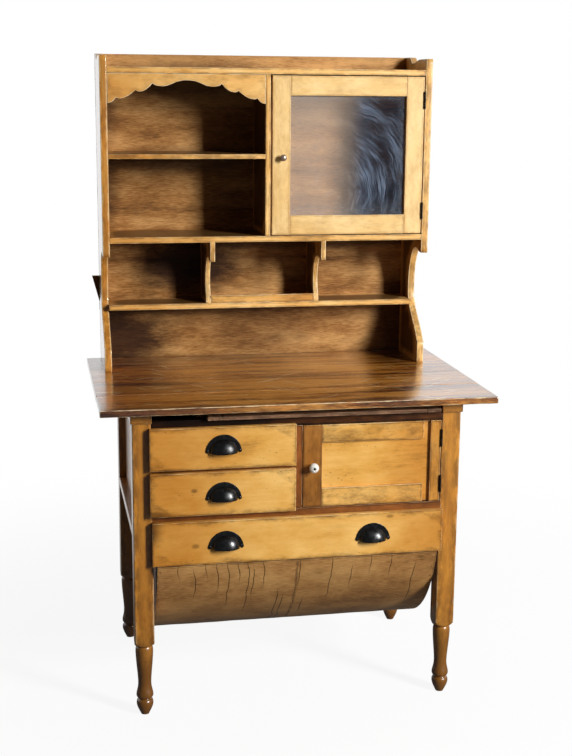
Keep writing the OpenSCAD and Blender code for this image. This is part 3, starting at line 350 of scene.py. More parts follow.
@dataclass(frozen=True)
class Wood(Finish):
    """Old wood: rings, fibres, stain, worn arrises and dirt beside them, with painted shade and
    painted light falloff where a finish sets them.

    The pattern is solid. It reads each board's own grain coordinates: metres along, across and
    through the board, moved by a random amount, with the tree's heart a little behind the board.
    """

    light: str
    mid: str
    dark: str
    worn: str = "e9cfa0"
    ring: float = 0.011
    ring_mix: float = 0.1
    streak_mix: float = 0.5
    fine_mix: float = 0.25
    mottle_mix: float = 0.7
    tint_mix: float = 0.06
    mottle_scale: Span = (7.0, 13.0)
    streak_scale: Span = (9.0, 80.0)
    fine_scale: Span = (50.0, 600.0)
    # The next two fields paint light falloff. The first is how much the wood is darkened and warmed
    # away from a middle x, for light that is brightest there. The second is that middle x, with
    # where the darkening starts and where it is full.
    painted_falloff: float = 0.0
    painted_falloff_zone: Triple = (0.03, 0.1, 0.36)
    stain: float = 0.35
    wear: float = 0.6
    worn_from: float = 0.8
    dirt: float = 0.45
    # The next field is part grime and part painted shade: a noisy dark band on broad faces near
    # their edges, where boards meet and shade falls in the corners.
    edge_grime_and_shade: float = 0.55
    # The next two fields paint shade. The first is how far the broad faces inside the hutch are
    # darkened for the shadow in its compartments. The second is the left x, right x and top z that
    # bound that painted shade.
    painted_shade: float = 0.0
    painted_shade_within: Triple = (-0.4495, 0.4245, 1.588)
    # Dark patches placed by x with z, or with depth where plan is set, each given as centre x,
    # centre z, width, height and strength. On some finishes they are painted shade under shelves
    # and overhangs; on the fronts they are dirt and knots.
    dirt_and_shade_patches: tuple[tuple[float, float, float, float, float], ...] = ()
    plan: bool = False
    specks: float = 0.0
    scratches: float = 0.0
    rough: Span = (0.36, 0.58)
    spec: float = 0.3
    coat: float = 0.3
    coat_rough: float = 0.22
    coat_ior: float = 1.5
    bump: float = 0.0002

    def lay(self, bench: Bench) -> None:
        """Lays the wood's nodes: figure, painted light falloff, painted shade, grime and painted
        shade near edges, dark patches (partly painted shade), stain, dirt, specks, wear and
        scratches, in that order.

        Args:
            bench: the material under way.
        """
        grain = bench.attribute("grain", "Vector")
        arris = bench.attribute("arris")
        tint = bench.attribute("tint")
        figure, fibre = self.figure(bench, grain)
        lift = bench.math("MULTIPLY_ADD", tint, self.tint_mix, figure)
        colour = bench.ramp(lift, (0.12, srgb(self.dark)), (0.42, srgb(self.mid)),
                            (0.72, srgb(self.light)))
        # Painted light falloff: away from a middle x the colour is multiplied towards a dark
        # orange. This stands for light that falls off from its brightest part.
        if self.painted_falloff:
            x, _, _ = bench.parts(bench.position())
            middle, near, far = self.painted_falloff_zone
            away = bench.math("ABSOLUTE", bench.math("SUBTRACT", x, middle))
            colour = bench.mix(bench.step(away, near, far, (0.0, self.painted_falloff)), colour,
                               (0.70, 0.52, 0.27), "MULTIPLY")
        inset_ = bench.attribute("inset")
        # Painted shade: within those bounds, broad faces away from their edges are darkened to
        # about a sixth of their colour. This stands for the shadow inside the compartments.
        if self.painted_shade:
            deep = bench.step(inset_, 0.002, 0.022, (0.0, self.painted_shade))
            x, _, z = bench.parts(bench.position())
            left, right, top = self.painted_shade_within
            for inside in (("GREATER_THAN", x, left), ("LESS_THAN", x, right),
                           ("LESS_THAN", z, top)):
                deep = bench.math("MULTIPLY", deep, bench.math(*inside))
            colour = bench.mix(deep, colour, (0.16, 0.13, 0.10), "MULTIPLY")
        cloud = bench.noise(bench.vector("MULTIPLY", grain, (16.0, 34.0, 34.0)), 1.0, 7.0, 0.75)
        # Grime and painted shade: a noisy band on the broad faces mixes towards the dark wood. It
        # is darkest a millimetre or two from the edge and gone by about 22 mm.
        edge_grime_and_shade = bench.math("MULTIPLY", bench.step(inset_, 0.0, 0.0015),
                          bench.step(inset_, 0.0, 0.022, (0.3, 0.0)))
        edge_grime_and_shade = bench.step(bench.math("ADD", cloud, edge_grime_and_shade), 0.6, 1.0, (0.0, self.edge_grime_and_shade))
        colour = bench.mix(edge_grime_and_shade, colour, srgb(self.dark))
        # Dark patches at given places: painted shade where a finish puts them under shelves, boards
        # and the worktop's overhang, and dirt and knots on the fronts.
        for x0, z0, wide, tall, depth_ in self.dirt_and_shade_patches:
            x, y, z = bench.parts(bench.position())
            u, v = (bench.math("MULTIPLY", bench.math("SUBTRACT", a, b), 1.0 / c)
                    for a, b, c in ((x, x0, wide), (y if self.plan else z, z0, tall)))
            far = bench.math("SQRT", bench.math("ADD", bench.math("MULTIPLY", u, u),
                                                bench.math("MULTIPLY", v, v)))
            far = bench.math("MULTIPLY_ADD", bench.math("SUBTRACT", cloud, 0.5), 0.9, far)
            colour = bench.mix(bench.step(far, 0.35, 1.1, (depth_, 0.0)), colour,
                               (0.10, 0.07, 0.05), "MULTIPLY")
        blot = bench.noise(bench.vector("MULTIPLY", grain, (6.0, 13.0, 13.0)), 1.0, 5.0, 0.66)
        stained = bench.math("MULTIPLY", bench.step(blot, 0.54, 0.74), self.stain)
        colour = bench.mix(stained, colour, srgb(self.dark))
        grime = bench.noise(bench.vector("MULTIPLY", grain, (20.0, 60.0, 60.0)), 1.0, 4.0, 0.65)
        near = bench.math("MULTIPLY", bench.step(arris, 0.0, 0.6), bench.step(grime, 0.34, 0.58))
        colour = bench.mix(bench.math("MULTIPLY", near, self.dirt), colour, srgb(self.dark))
        if self.specks:
            colour = bench.mix(self.speckle(bench, grain), colour, srgb("2a180c"))
        rub = bench.noise(bench.vector("MULTIPLY", grain, (30.0, 150.0, 150.0)), 1.0, 3.0, 0.55)
        bare = bench.math("MULTIPLY_ADD", bench.math("SUBTRACT", rub, 0.5), 0.9, arris)
        bare = bench.math("MULTIPLY", bench.step(bare, self.worn_from, self.worn_from + 0.22),
                          self.wear)
        colour = bench.mix(bare, colour, srgb(self.worn))
        if self.scratches:
            scored = bench.math("MULTIPLY", self.scratched(bench, grain),
                                bench.step(inset_, 0.001, 0.003, (0.0, self.scratches)))
            colour = bench.mix(scored, colour, srgb(self.worn))
        dull = bench.math("MULTIPLY_ADD", bare, 0.5, fibre)
        bench.surface(
            Base_Color=colour,
            Roughness=bench.step(dull, 0.3, 0.9, self.rough),
            Specular_IOR_Level=self.spec,
            Coat_Weight=self.coat,
            Coat_Roughness=self.coat_rough,
            Coat_IOR=self.coat_ior,
            Normal=bench.bump(bench.math("MULTIPLY_ADD", figure, 0.4, fibre), self.bump),
        )

    def figure(self, bench: Bench, grain: Socket
               ) -> tuple[Socket, Socket]:
        """Growth rings, mottling, streaks and fibres.

        The rings are a sine of the distance from the heart, which leans along the board and is
        bent by slow noise; the streaks and fibres are noise drawn out along the board.

        Args:
            bench: the material under way.
            grain: the grain coordinates.

        Returns:
            The figure from 0, dark, to 1, light, and the fibres alone.
        """
        along, across, through = bench.parts(grain)
        slow = bench.noise(bench.vector("MULTIPLY", grain, (1.6, 6.0, 6.0)), 1.0, 2.0)
        bent = bench.math("MULTIPLY_ADD", bench.math("SUBTRACT", slow, 0.5), 0.06, across)
        lean = bench.math("MULTIPLY_ADD", bench.math("SINE", bench.math("MULTIPLY", along, 2.1)),
                          0.03, through)
        heart = bench.math("SQRT", bench.math("ADD", bench.math("MULTIPLY", bent, bent),
                                              bench.math("MULTIPLY", lean, lean)))
        wave = bench.math("SINE", bench.math("MULTIPLY", heart, math.tau / self.ring))
        total = bench.math("MULTIPLY_ADD", wave, self.ring_mix, 0.5)
        mottle, streak, fine = (
            bench.noise(bench.vector("MULTIPLY", grain, (a, b, b)), 1.0, detail, 0.62)
            for (a, b), detail in ((self.mottle_scale, 5.0), (self.streak_scale, 3.0),
                                   (self.fine_scale, 3.0)))
        for part, share in ((mottle, self.mottle_mix), (streak, self.streak_mix),
                            (fine, self.fine_mix)):
            total = bench.math("MULTIPLY_ADD", bench.math("SUBTRACT", part, 0.5), 2 * share, total)
        return total, bench.math("MULTIPLY_ADD", fine, 0.6, bench.math("MULTIPLY", streak, 0.4))

    def speckle(self, bench: Bench, grain: Socket) -> Socket:
        """Small dark flecks, bunched where slow noise is high.

        Args:
            bench: the material under way.
            grain: the grain coordinates.

        Returns:
            1 in a fleck, 0 elsewhere.
        """
        cells = bench.node("ShaderNodeTexVoronoi")
        bench.plug(cells.inputs["Vector"], bench.vector("MULTIPLY", grain, (70.0, 110.0, 110.0)))
        bench.plug(cells.inputs["Scale"], 1.0)
        dots = bench.step(cells.outputs["Distance"], 0.08, 0.2, (1.0, 0.0))
        place = bench.noise(bench.vector("MULTIPLY", grain, (9.0, 15.0, 15.0)), 1.0, 2.0)
        return bench.math("MULTIPLY", dots, bench.step(place, 0.56, 0.68, (0.0, self.specks)))

    def scratched(self, bench: Bench, grain: Socket) -> Socket:
        """Fine pale scores at three slants: narrow peaks of noise drawn out into lines.

        Args:
            bench: the material under way.
            grain: the grain coordinates.

        Returns:
            1 in a score, 0 elsewhere.
        """
        total: Value = 0.0
        for turn, across in ((0.6, 150.0), (-0.9, 170.0), (0.05, 160.0)):
            along, side, _ = bench.parts(grain)
            u = bench.math("ADD", bench.math("MULTIPLY", along, math.cos(turn)),
                           bench.math("MULTIPLY", side, math.sin(turn)))
            v = bench.math("SUBTRACT", bench.math("MULTIPLY", side, math.cos(turn)),
                           bench.math("MULTIPLY", along, math.sin(turn)))
            line = bench.whole(bench.math("MULTIPLY", u, 7.0),
                               bench.math("MULTIPLY", v, across), 0.0)
            total = bench.math("ADD", total, bench.step(bench.noise(line, 1.0, 1.0), 0.70, 0.74))
        return bench.math("MINIMUM", total, 1.0)


@dataclass(frozen=True)
class BentWood(Wood):
    """Thin wood bent round the bin: the same wood with cracks across its streaks."""

    cracks: tuple[Triple, ...] = ()

    def lay(self, bench: Bench) -> None:
        """Lays the wood, then draws each crack as a dark line that wanders with noise.

        Args:
            bench: the material under way.
        """
        super().lay(bench)
        shader = next(n for n in bench.tree.nodes if n.type == "BSDF_PRINCIPLED")
        base = shader.inputs["Base Color"].links[0].from_socket
        along, round_, _ = bench.parts(bench.attribute("sheet", "Vector"))
        wander = bench.noise(bench.whole(0.0, bench.math("MULTIPLY", round_, 9.0), along), 1.0, 3.0)
        place = bench.math("MULTIPLY_ADD", bench.math("SUBTRACT", wander, 0.5), 0.03, along)
        dark: Value = 0.0
        for where, top, low in self.cracks:
            gap = bench.math("ABSOLUTE", bench.math("SUBTRACT", place, where))
            inside = bench.math("MULTIPLY", bench.step(round_, top - 0.02, top + 0.02),
                                bench.step(round_, low - 0.05, low + 0.01, (1.0, 0.0)))
            line = bench.math("MULTIPLY", bench.step(gap, 0.0004, 0.0016, (1.0, 0.0)), inside)
            dark = bench.math("MAXIMUM", dark, line)
        bench.plug(shader.inputs["Base Color"],
                   bench.mix(bench.math("MULTIPLY", dark, 0.9), base, srgb("1c120b")))


@dataclass(frozen=True)
class Metal(Finish):
    """Lacquered iron, rubbed a little brighter in cloudy patches."""

    base: str
    rubbed: str
    metallic: float = 0.35
    rough: Span = (0.25, 0.45)
    spec: float = 0.5

    def lay(self, bench: Bench) -> None:
        """Lays the lacquer with faint cloudiness and small dents.

        Args:
            bench: the material under way.
        """
        place = bench.position()
        cloud = bench.noise(place, 90.0, 4.0, 0.6)
        grit = bench.noise(place, 900.0, 2.0)
        bench.surface(
            Base_Color=bench.mix(bench.step(cloud, 0.52, 0.74), srgb(self.base), srgb(self.rubbed)),
            Metallic=self.metallic,
            Specular_IOR_Level=self.spec,
            Roughness=bench.step(cloud, 0.35, 0.7, self.rough),
            Normal=bench.bump(bench.math("ADD", bench.math("MULTIPLY", grit, 0.2), cloud), 0.00004),
        )


@dataclass(frozen=True)
class China(Finish):
    """White glazed china with hairline crazing and cloudy grime."""

    base: str = "efebe2"

    def lay(self, bench: Bench) -> None:
        """Lays the glaze; the crazing is the thin edge between cells.

        Args:
            bench: the material under way.
        """
        place = bench.position()
        cells = bench.node("ShaderNodeTexVoronoi", feature="DISTANCE_TO_EDGE")
        bench.plug(cells.inputs["Vector"], place)
        bench.plug(cells.inputs["Scale"], 190.0)
        craze = bench.step(cells.outputs["Distance"], 0.01, 0.04, (0.35, 0.0))
        cloud = bench.noise(place, 160.0, 3.0)
        soiled = bench.mix(bench.step(cloud, 0.5, 0.75, (0.0, 0.5)), srgb(self.base),
                           srgb("b9aa8e"))
        bench.surface(
            Base_Color=bench.mix(craze, soiled, srgb("8d7a60")),
            Roughness=bench.step(cloud, 0.3, 0.8, (0.08, 0.2)),
            Coat_Weight=0.6,
            Coat_Roughness=0.06,
            Normal=bench.bump(cloud, 0.0002),
        )


@dataclass(frozen=True)
class OldGlass(Finish):
    """Thin window glass with wiped smears, tinted bluish at the right as a painted reflection."""

    film: str = "e6d3c2"
    smear_and_reflection: str = "93a6c0"
    dust: str = "c9cdd0"
    wiped: Span = (0.12, 1.25)

    def lay(self, bench: Bench) -> None:
        """Lays clear glass under a dull film, wiped arcs and grit along its edges.

        The arcs are noise drawn out round the point wiped: fine along the distance from it and
        slow along the angle. The film is warm at the left and thins out to the right. The right
        part is tinted bluish and its arcs are more opaque: a painted reflection.

        Args:
            bench: the material under way.
        """
        place = bench.position()
        x, _, z = bench.parts(place)
        slow = bench.noise(place, 7.0, 3.0)
        wobble = bench.math("MULTIPLY_ADD", bench.math("SUBTRACT", slow, 0.5), 0.05, 0.0)
        u = bench.math("ADD", bench.math("SUBTRACT", x, self.wiped[0]), wobble)
        v = bench.math("ADD", bench.math("SUBTRACT", z, self.wiped[1]), wobble)
        turn = bench.math("ARCTAN2", v, u)
        reach = bench.math("SQRT", bench.math("ADD", bench.math("MULTIPLY", u, u),
                                              bench.math("MULTIPLY", v, v)))
        brushed = bench.noise(bench.whole(bench.math("MULTIPLY", reach, 330.0),
                                          bench.math("MULTIPLY", turn, 2.6), 0.0), 1.0, 3.0, 0.6)
        broad = bench.noise(bench.whole(bench.math("MULTIPLY", reach, 26.0),
                                        bench.math("MULTIPLY", turn, 1.5), 3.0), 1.0, 4.0, 0.6)
        smear_and_reflection = bench.math("MULTIPLY", bench.step(brushed, 0.34, 0.72),
                           bench.step(broad, 0.38, 0.66))
        # Painted reflection: the pane's right part is tinted bluish and its arcs are made more
        # opaque. This stands for a bluish reflection there.
        side = bench.step(x, 0.19, 0.25)
        film = bench.step(x, 0.1, 0.3, (0.2, 0.02))
        edge = bench.math("MAXIMUM", bench.step(z, 1.26, 1.212), bench.step(z, 1.5, 1.52))
        edge = bench.math("MAXIMUM", bench.step(x, 0.325, 0.357), edge)
        grit = bench.noise(place, 420.0, 5.0, 0.8)
        grit = bench.math("MULTIPLY", bench.step(grit, 0.5, 0.72), edge)
        arcs = bench.math("MULTIPLY", smear_and_reflection, bench.math("MULTIPLY_ADD", side, 0.27, 0.07))
        tone = bench.mix(bench.step(grit, 0.05, 0.3), bench.mix(side, srgb(self.film),
                         srgb(self.smear_and_reflection)), srgb(self.dust))
        bench.surface(
            Base_Color=tone,
            Roughness=bench.step(smear_and_reflection, 0.0, 1.0, (0.03, 0.25)),
            IOR=1.45,
            Alpha=bench.math("ADD", bench.math("MAXIMUM", arcs, bench.math("MULTIPLY", grit, 0.5)),
                             film),
            Normal=bench.bump(bench.noise(place, 14.0, 1.0), 0.0006),
        )


# Several finishes below paint light and shade into their colour. The worktop, frame, fronts, hutch,
# valance and side are darkened away from a middle x as painted light falloff. The hutch and side
# are also darkened on their inner broad faces as painted shade.
BOARD = {
    "worktop": Wood("worktop_varnish", "e29a40", "9c5816", "1e0b01", worn="f8deae", ring_mix=0.02,
                    streak_mix=0.9, fine_mix=0.5, mottle_mix=0.9, tint_mix=0.12,
                    mottle_scale=(3.0, 15.0), streak_scale=(2.0, 46.0), painted_falloff=1.0,
                    painted_falloff_zone=(0.12, 0.15, 0.65), stain=0.4, wear=0.9, worn_from=0.76, dirt=0.5,
                    edge_grime_and_shade=0.5, scratches=1.0, rough=(0.25, 0.45), spec=0.5, coat=1.0,
                    coat_rough=0.16, coat_ior=2.3, bump=0.00025, plan=True,
                    # Patches: the first three are painted shade on the worktop under the hutch, by
                    # its back and its right side. The last two darken the worktop at the front
                    # left.
                    dirt_and_shade_patches=((-0.3, 0.28, 0.3, 0.12, 0.6), (0.1, 0.3, 0.5, 0.08, 0.5),
                             (0.36, 0.2, 0.1, 0.14, 0.7), (-0.35, -0.1, 0.2, 0.1, 0.35),
                             (-0.42, -0.32, 0.3, 0.05, 0.5))),
    "frame": Wood("frame_wax", "dc9632", "b27222", "3a1e06", ring_mix=0.02, streak_mix=0.1,
                  fine_mix=0.15, mottle_mix=0.4, painted_falloff=1.0, painted_falloff_zone=(0.45, 0.6, 1.6),
                  stain=0.25, wear=0.3, dirt=0.5, coat=0.7, coat_rough=0.24, coat_ior=1.8,
                  # Patches: the first two darken the legs towards their feet. The third is painted
                  # shade on the left bearer's front end and the front left leg's top, under the
                  # worktop.
                  dirt_and_shade_patches=((-0.42, 0.05, 0.3, 0.21, 0.72), (0.42, 0.05, 0.3, 0.21, 0.66),
                           (-0.35, 0.78, 0.13, 0.03, 0.6))),
    # Darker than the frame wood: part of that darkness is painted shade, for the recess behind the
    # proud drawer fronts.
    "rail": Wood("rail_wax", "9a5c24", "7a4416", "2a1304", ring_mix=0.02, streak_mix=0.1,
                 fine_mix=0.15, mottle_mix=0.5, stain=0.35, wear=0.3, dirt=0.5),
    # The top rail under the worktop: very dark wood, part grime and part painted shade beneath the
    # overhang and the bread board. It has a painted shadow patch at its left.
    "grime_and_shade": Wood("grime_and_shade_wax", "6a3c16", "44230b", "0c0502", worn="6a4a2a", ring_mix=0.02,
                  streak_mix=0.1, mottle_mix=0.7, stain=0.5, wear=0.1, dirt=0.8, spec=0.2,
                  coat=0.05, dirt_and_shade_patches=((-0.35, 0.745, 0.5, 0.1, 0.9),)),
    "inner": Wood("bare_inner", "8f6435", "6b4420", "30190a", wear=0.2, dirt=0.3, coat=0.0,
                  rough=(0.6, 0.8)),
    "bread": Wood("scrubbed_board", "a3795a", "7d583e", "3a2415", wear=0.3, dirt=0.6, coat=0.0,
                  rough=(0.55, 0.75)),
    "front": Wood("front_wax", "f8c876", "e0a44a", "4c280a", worn="f8dfae", ring_mix=0.012,
                  streak_mix=0.05, fine_mix=0.12, mottle_mix=0.38, painted_falloff=0.9, stain=0.12,
                  wear=0.6, dirt=0.4, edge_grime_and_shade=0.7, specks=0.6, spec=0.3, coat=0.2,
                  dirt_and_shade_patches=((-0.385, 0.49, 0.05, 0.05, 0.75), (-0.265, 0.588, 0.01, 0.007, 0.6),
                           (-0.262, 0.447, 0.012, 0.008, 0.5), (-0.37, 0.53, 0.06, 0.014, 0.6),
                           (-0.33, 0.636, 0.03, 0.01, 0.5), (0.225, 0.498, 0.012, 0.006, 0.5))),
    "stile": Wood("stile_wax", "c08238", "985f1e", "3a1e08", ring_mix=0.02, streak_mix=0.08,
                  fine_mix=0.12, mottle_mix=0.4, stain=0.25, wear=0.3, dirt=0.4),
    "box": Wood("drawer_box", "c9a068", "a87e48", "614020", wear=0.2, dirt=0.3, coat=0.0,
                rough=(0.55, 0.75)),
    "bin": Wood("bin_boards", "7d5a38", "5e3f24", "2d190b", wear=0.2, dirt=0.4, coat=0.0,
                rough=(0.5, 0.75)),
    "hutch": Wood("hutch_wax", "ffd58c", "e8b060", "4e2a0a", worn="f8deac", ring_mix=0.02,
                  streak_mix=0.1, fine_mix=0.2, mottle_mix=0.5, painted_falloff=0.8,
                  painted_falloff_zone=(0.1, 0.2, 0.5), stain=0.4, wear=0.6, worn_from=0.8, dirt=0.5,
                  painted_shade=1.0),
    "valance": Wood("valance_wax", "fbd086", "e8b060", "4e2a0a", worn="f8e0b4", ring_mix=0.015,
                    streak_mix=0.06, fine_mix=0.12, mottle_mix=0.4, painted_falloff=0.7,
                    painted_falloff_zone=(-0.15, 0.1, 0.3), stain=0.2, wear=0.9, dirt=0.35, edge_grime_and_shade=0.4),
    "side": Wood("hutch_side_wax", "ffce74", "ecaa4a", "4e2a0a", worn="f5d8a0", ring_mix=0.02,
                 streak_mix=0.1, fine_mix=0.12, mottle_mix=0.4, painted_falloff=0.8,
                 painted_falloff_zone=(0.43, 0.3, 0.9), stain=0.2, wear=0.5, dirt=0.35, painted_shade=1.0, coat=1.0,
                 coat_rough=0.1, coat_ior=1.8),
    "back": Wood("back_boards", "c9985c", "93622f", "2e1808", ring_mix=0.01, streak_mix=0.08,
                 fine_mix=0.4, mottle_mix=0.5, mottle_scale=(5.0, 17.0),
                 streak_scale=(6.0, 60.0), stain=0.3, wear=0.0, dirt=0.2, edge_grime_and_shade=0.35,
                 rough=(0.45, 0.65), spec=0.2, coat=0.0,
                 # Painted shade: these patches darken the back where shadow falls. That is under
                 # the top board, the shelves and the pigeonhole shelf, by the sides, in the left
                 # pigeonhole and along the low back.
                 dirt_and_shade_patches=((-0.21, 1.06, 0.2, 0.11, 1.0), (-0.45, 0.86, 0.26, 0.14, 1.0),
                          (-0.02, 0.87, 0.2, 0.09, 0.4),
                          (-0.2, 0.94, 0.5, 0.03, 0.7), (0.1, 1.12, 0.6, 0.03, 0.7),
                          (-0.2, 1.56, 0.3, 0.07, 0.7), (-0.2, 1.345, 0.3, 0.045, 0.7),
                          (-0.44, 1.48, 0.06, 0.13, 0.6), (-0.44, 1.26, 0.06, 0.13, 0.7),
                          (0.40, 0.9, 0.1, 0.14, 0.8))),
    "glazed": Wood("glazed_door_wax", "ffe3aa", "f1c780", "a8742c", worn="fff0cc", ring_mix=0.01,
                   streak_mix=0.06, fine_mix=0.08, mottle_mix=0.25, stain=0.06, wear=0.4,
                   dirt=0.4, edge_grime_and_shade=0.5),
}
BELLY = BentWood("belly_wood", "c99a5e", "a67642", "4a2c10", worn="d0aa78", ring_mix=0.01,
                 streak_mix=0.08, fine_mix=0.45, mottle_mix=0.5, stain=0.25, wear=0.3, dirt=0.5,
                 edge_grime_and_shade=0.3, rough=(0.34, 0.56), coat=0.2,
                 cracks=((-0.205, 0.0, 0.10), (-0.178, 0.0, 0.16), (-0.128, 0.0, 0.2),
                         (-0.116, 0.02, 0.13), (-0.048, 0.1, 0.36), (-0.034, 0.12, 0.4),
                         (0.082, 0.0, 0.16), (0.182, 0.0, 0.06), (-0.30, 0.0, 0.05),
                         (-0.262, 0.02, 0.12), (-0.232, 0.0, 0.05), (-0.152, 0.0, 0.07),
                         (-0.09, 0.0, 0.09), (0.0, 0.0, 0.1), (0.02, 0.14, 0.24),
                         (0.135, 0.03, 0.11), (0.235, 0.0, 0.08), (0.3, 0.03, 0.2)))
IRON = Metal("black_iron", "08090b", "17191d", metallic=0.0, rough=(0.24, 0.38), spec=0.6)
HINGE_STEEL = Metal("hinge_iron", "1c1712", "4a3a28", metallic=0.6, rough=(0.4, 0.6))
SMALL_KNOB = Metal("knob_brown_iron", "9a8878", "d8c8b0", metallic=0.6, rough=(0.3, 0.45))
CHINA = China("white_china")
GLASS = OldGlass("old_glass")


# ---------------------------------------------------------------- stock


@dataclass
class Stock:
    """Worked material as whole arrays, in millimetres until place() is called.

    arris is 1 on a corner's edge and falls to 0 a few millimetres in. grain holds the solid
    coordinates that the wood's figure reads, in metres, and inset the way in from the edge of a
    board's broad face, in metres, which is 0 on its narrow faces.
    """

    points: np.ndarray
    faces: list[list[int]]
    arris: np.ndarray
    grain: np.ndarray
    tint: np.ndarray
    sheet: Optional[np.ndarray] = None
    inset: Optional[np.ndarray] = None

    @staticmethod
    def joined(pieces: Sequence["Stock"]) -> "Stock":
        """Several pieces as one mesh, each still a closed shell of its own.

        Args:
            pieces: what to join.

        Returns:
            All of it as one Stock.
        """
        starts = np.cumsum([0] + [len(p.points) for p in pieces])[:-1]
        faces = [[i + int(s) for i in f] for s, p in zip(starts, pieces) for f in p.faces]
        sheets = [p.sheet if p.sheet is not None else np.zeros_like(p.points) for p in pieces]
        insets = [p.inset if p.inset is not None else np.zeros(len(p.points)) for p in pieces]
        return Stock(
            np.concatenate([p.points for p in pieces]),
            faces,
            np.concatenate([p.arris for p in pieces]),
            np.concatenate([p.grain for p in pieces]),
            np.concatenate([p.tint for p in pieces]),
            np.concatenate(sheets),
            np.concatenate(insets),
        )

    def place(self) -> np.ndarray:
        """The points in the shared frame, in metres: x and depth less ZERO."""
        return (self.points - ZERO) * MM

    def to_object(self, name: str, finish: Finish) -> bpy.types.Object:
        """The mesh object, smooth-shaded, at the origin, with its attributes.

        Args:
            name: the piece's name.
            finish: its finish.

        Returns:
            The object, linked to the scene.
        """
        mesh = bpy.data.meshes.new(name)
        mesh.from_pydata(self.place().tolist(), [], self.faces)
        inset = self.inset if self.inset is not None else np.zeros(len(self.points))
        for key, values in (("arris", self.arris), ("tint", self.tint), ("inset", inset)):
            mesh.attributes.new(key, "FLOAT", "POINT").data.foreach_set(
                "value", values.astype(np.float32))
        for key, values in (("grain", self.grain), ("sheet", self.sheet)):
            if values is not None:
                mesh.attributes.new(key, "FLOAT_VECTOR", "POINT").data.foreach_set(
                    "vector", values.astype(np.float32).ravel())
        mesh.polygons.foreach_set("use_smooth", np.ones(len(mesh.polygons), bool))
        mesh.materials.append(finish.material())
        mesh.update()
        made = bpy.data.objects.new(name, mesh)
        bpy.context.scene.collection.objects.link(made)
        return made


def grid_quads(rows: int, columns: int, wrap: bool = False, start: int = 0) -> np.ndarray:
    """Quads of a grid stored row by row.

    Args:
        rows: lines of points.
        columns: points in a line.
        wrap: whether the last column joins the first.
        start: index of the first point.

    Returns:
        Indices as an (n, 4) array.
    """
    i, j = np.meshgrid(np.arange(rows - 1), np.arange(columns if wrap else columns - 1),
                       indexing="ij")
    k = (j + 1) % columns
    return start + np.stack([i * columns + j, (i + 1) * columns + j,
                             (i + 1) * columns + k, i * columns + k], -1).reshape(-1, 4)


def ruled_lines(length: float, edge: float, rim: float, step: float) -> np.ndarray:
    """Places of the grid lines along one side of a board.

    They crowd at both ends, so that an edge rounds over in four facets, then one line marks
    where the wear ends, and the rest are about step apart.

    Args:
        length: the side's length.
        edge: radius of the worn edge.
        rim: where the wear ends.
        step: spacing of the middle lines.

    Returns:
        Places from 0 to length, in order.
    """
    near = np.array([0.0, 0.586, 1.0, 1.7]) * edge
    near = np.append(near, rim)
    near = near[near < length / 2 - 0.2 * edge]
    middle = np.linspace(near[-1], length - near[-1],
                         max(2, int((length - 2 * near[-1]) / step) + 2))
    return np.unique(np.concatenate([near, middle, length - near]).round(5))


def lattice(lines: Sequence[np.ndarray]) -> tuple[np.ndarray, np.ndarray]:
    """The six faces of a box cut by grid lines, as one closed mesh that faces outwards.

    Args:
        lines: the places of the lines along the three axes.

    Returns:
        The points and the quads.
    """
    points, quads, start = [], [], 0
    for axis in range(3):
        u, v = (axis + 1) % 3, (axis + 2) % 3
        grid_u, grid_v = np.meshgrid(lines[u], lines[v], indexing="ij")
        for end in (0, -1):
            face = np.empty((grid_u.size, 3))
            face[:, axis] = lines[axis][end]
            face[:, u] = grid_u.ravel()
            face[:, v] = grid_v.ravel()
            made = grid_quads(*grid_u.shape, start=start)
            quads.append(made if end == -1 else made[:, ::-1])
            points.append(face)
            start += len(face)
    joined = np.concatenate(points)
    _, first, index = np.unique(joined.round(5), axis=0, return_index=True, return_inverse=True)
    return joined[first], index.ravel()[np.concatenate(quads)]


def ripple(points: np.ndarray, rng: np.random.Generator, length: float) -> np.ndarray:
    """Smooth unevenness from 0 to 1: the mean of six sines in random directions, with
    wavelengths about length."""
    waves = rng.normal(size=(3, 6)) * math.tau / length
    return 0.5 + 0.5 * np.sin(points @ waves + rng.uniform(0, math.tau, 6)).mean(axis=1) * 1.6


@dataclass
class Board:
    """A squared board with rounded, worn arrises.

    A point of the box's surface is its nearest point in a box smaller by the edge's radius,
    moved out by that radius, so faces stay flat and arrises become quarter rounds. It then
    moves in by a slow ripple, and at the arrises by dents.
    """

    x: Span
    depth: Span
    z: Span
    grain: Grain
    name: str
    edge: float = 1.1
    rim: float = 6.0
    step: float = 45.0
    uneven: float = 0.25
    dents: float = 0.5
    tint: Optional[float] = None

    def stock(self) -> Stock:
        """The board as arrays.

        Returns:
            The board's arrays.
        """
        rng = seed_of(self.name)
        low = np.array([self.x[0], self.depth[0], self.z[0]])
        size = np.array([self.x[1], self.depth[1], self.z[1]]) - low
        edge = min(self.edge, 0.3 * float(size.min()))
        rim = min(self.rim, 0.45 * float(np.sort(size)[1]))
        flat, quads = lattice([ruled_lines(s, edge, rim, self.step) for s in size])
        near = np.sort(np.minimum(flat, size - flat), axis=1)[:, 1]
        arris = np.clip(1.0 - near / rim, 0.0, 1.0)
        core = np.clip(flat, edge, size - edge)
        out = flat - core
        out /= np.linalg.norm(out, axis=1, keepdims=True)
        points = low + core + edge * out
        sunk = self.uneven * ripple(points, rng, 160.0)
        sunk += self.dents * arris**2 * np.clip(ripple(points, rng, 22.0) - 0.55, 0, 1)
        broad = np.argsort(size)[1:]
        inset_ = np.minimum(flat, size - flat)[:, broad].min(axis=1) * MM
        grain = grain_coordinates(points, low, size, self.grain, rng)
        tint = rng.uniform(-1, 1) if self.tint is None else self.tint
        return Stock(points - out * sunk[:, None], quads.tolist(), arris, grain,
                     np.full(len(points), tint), inset=inset_)


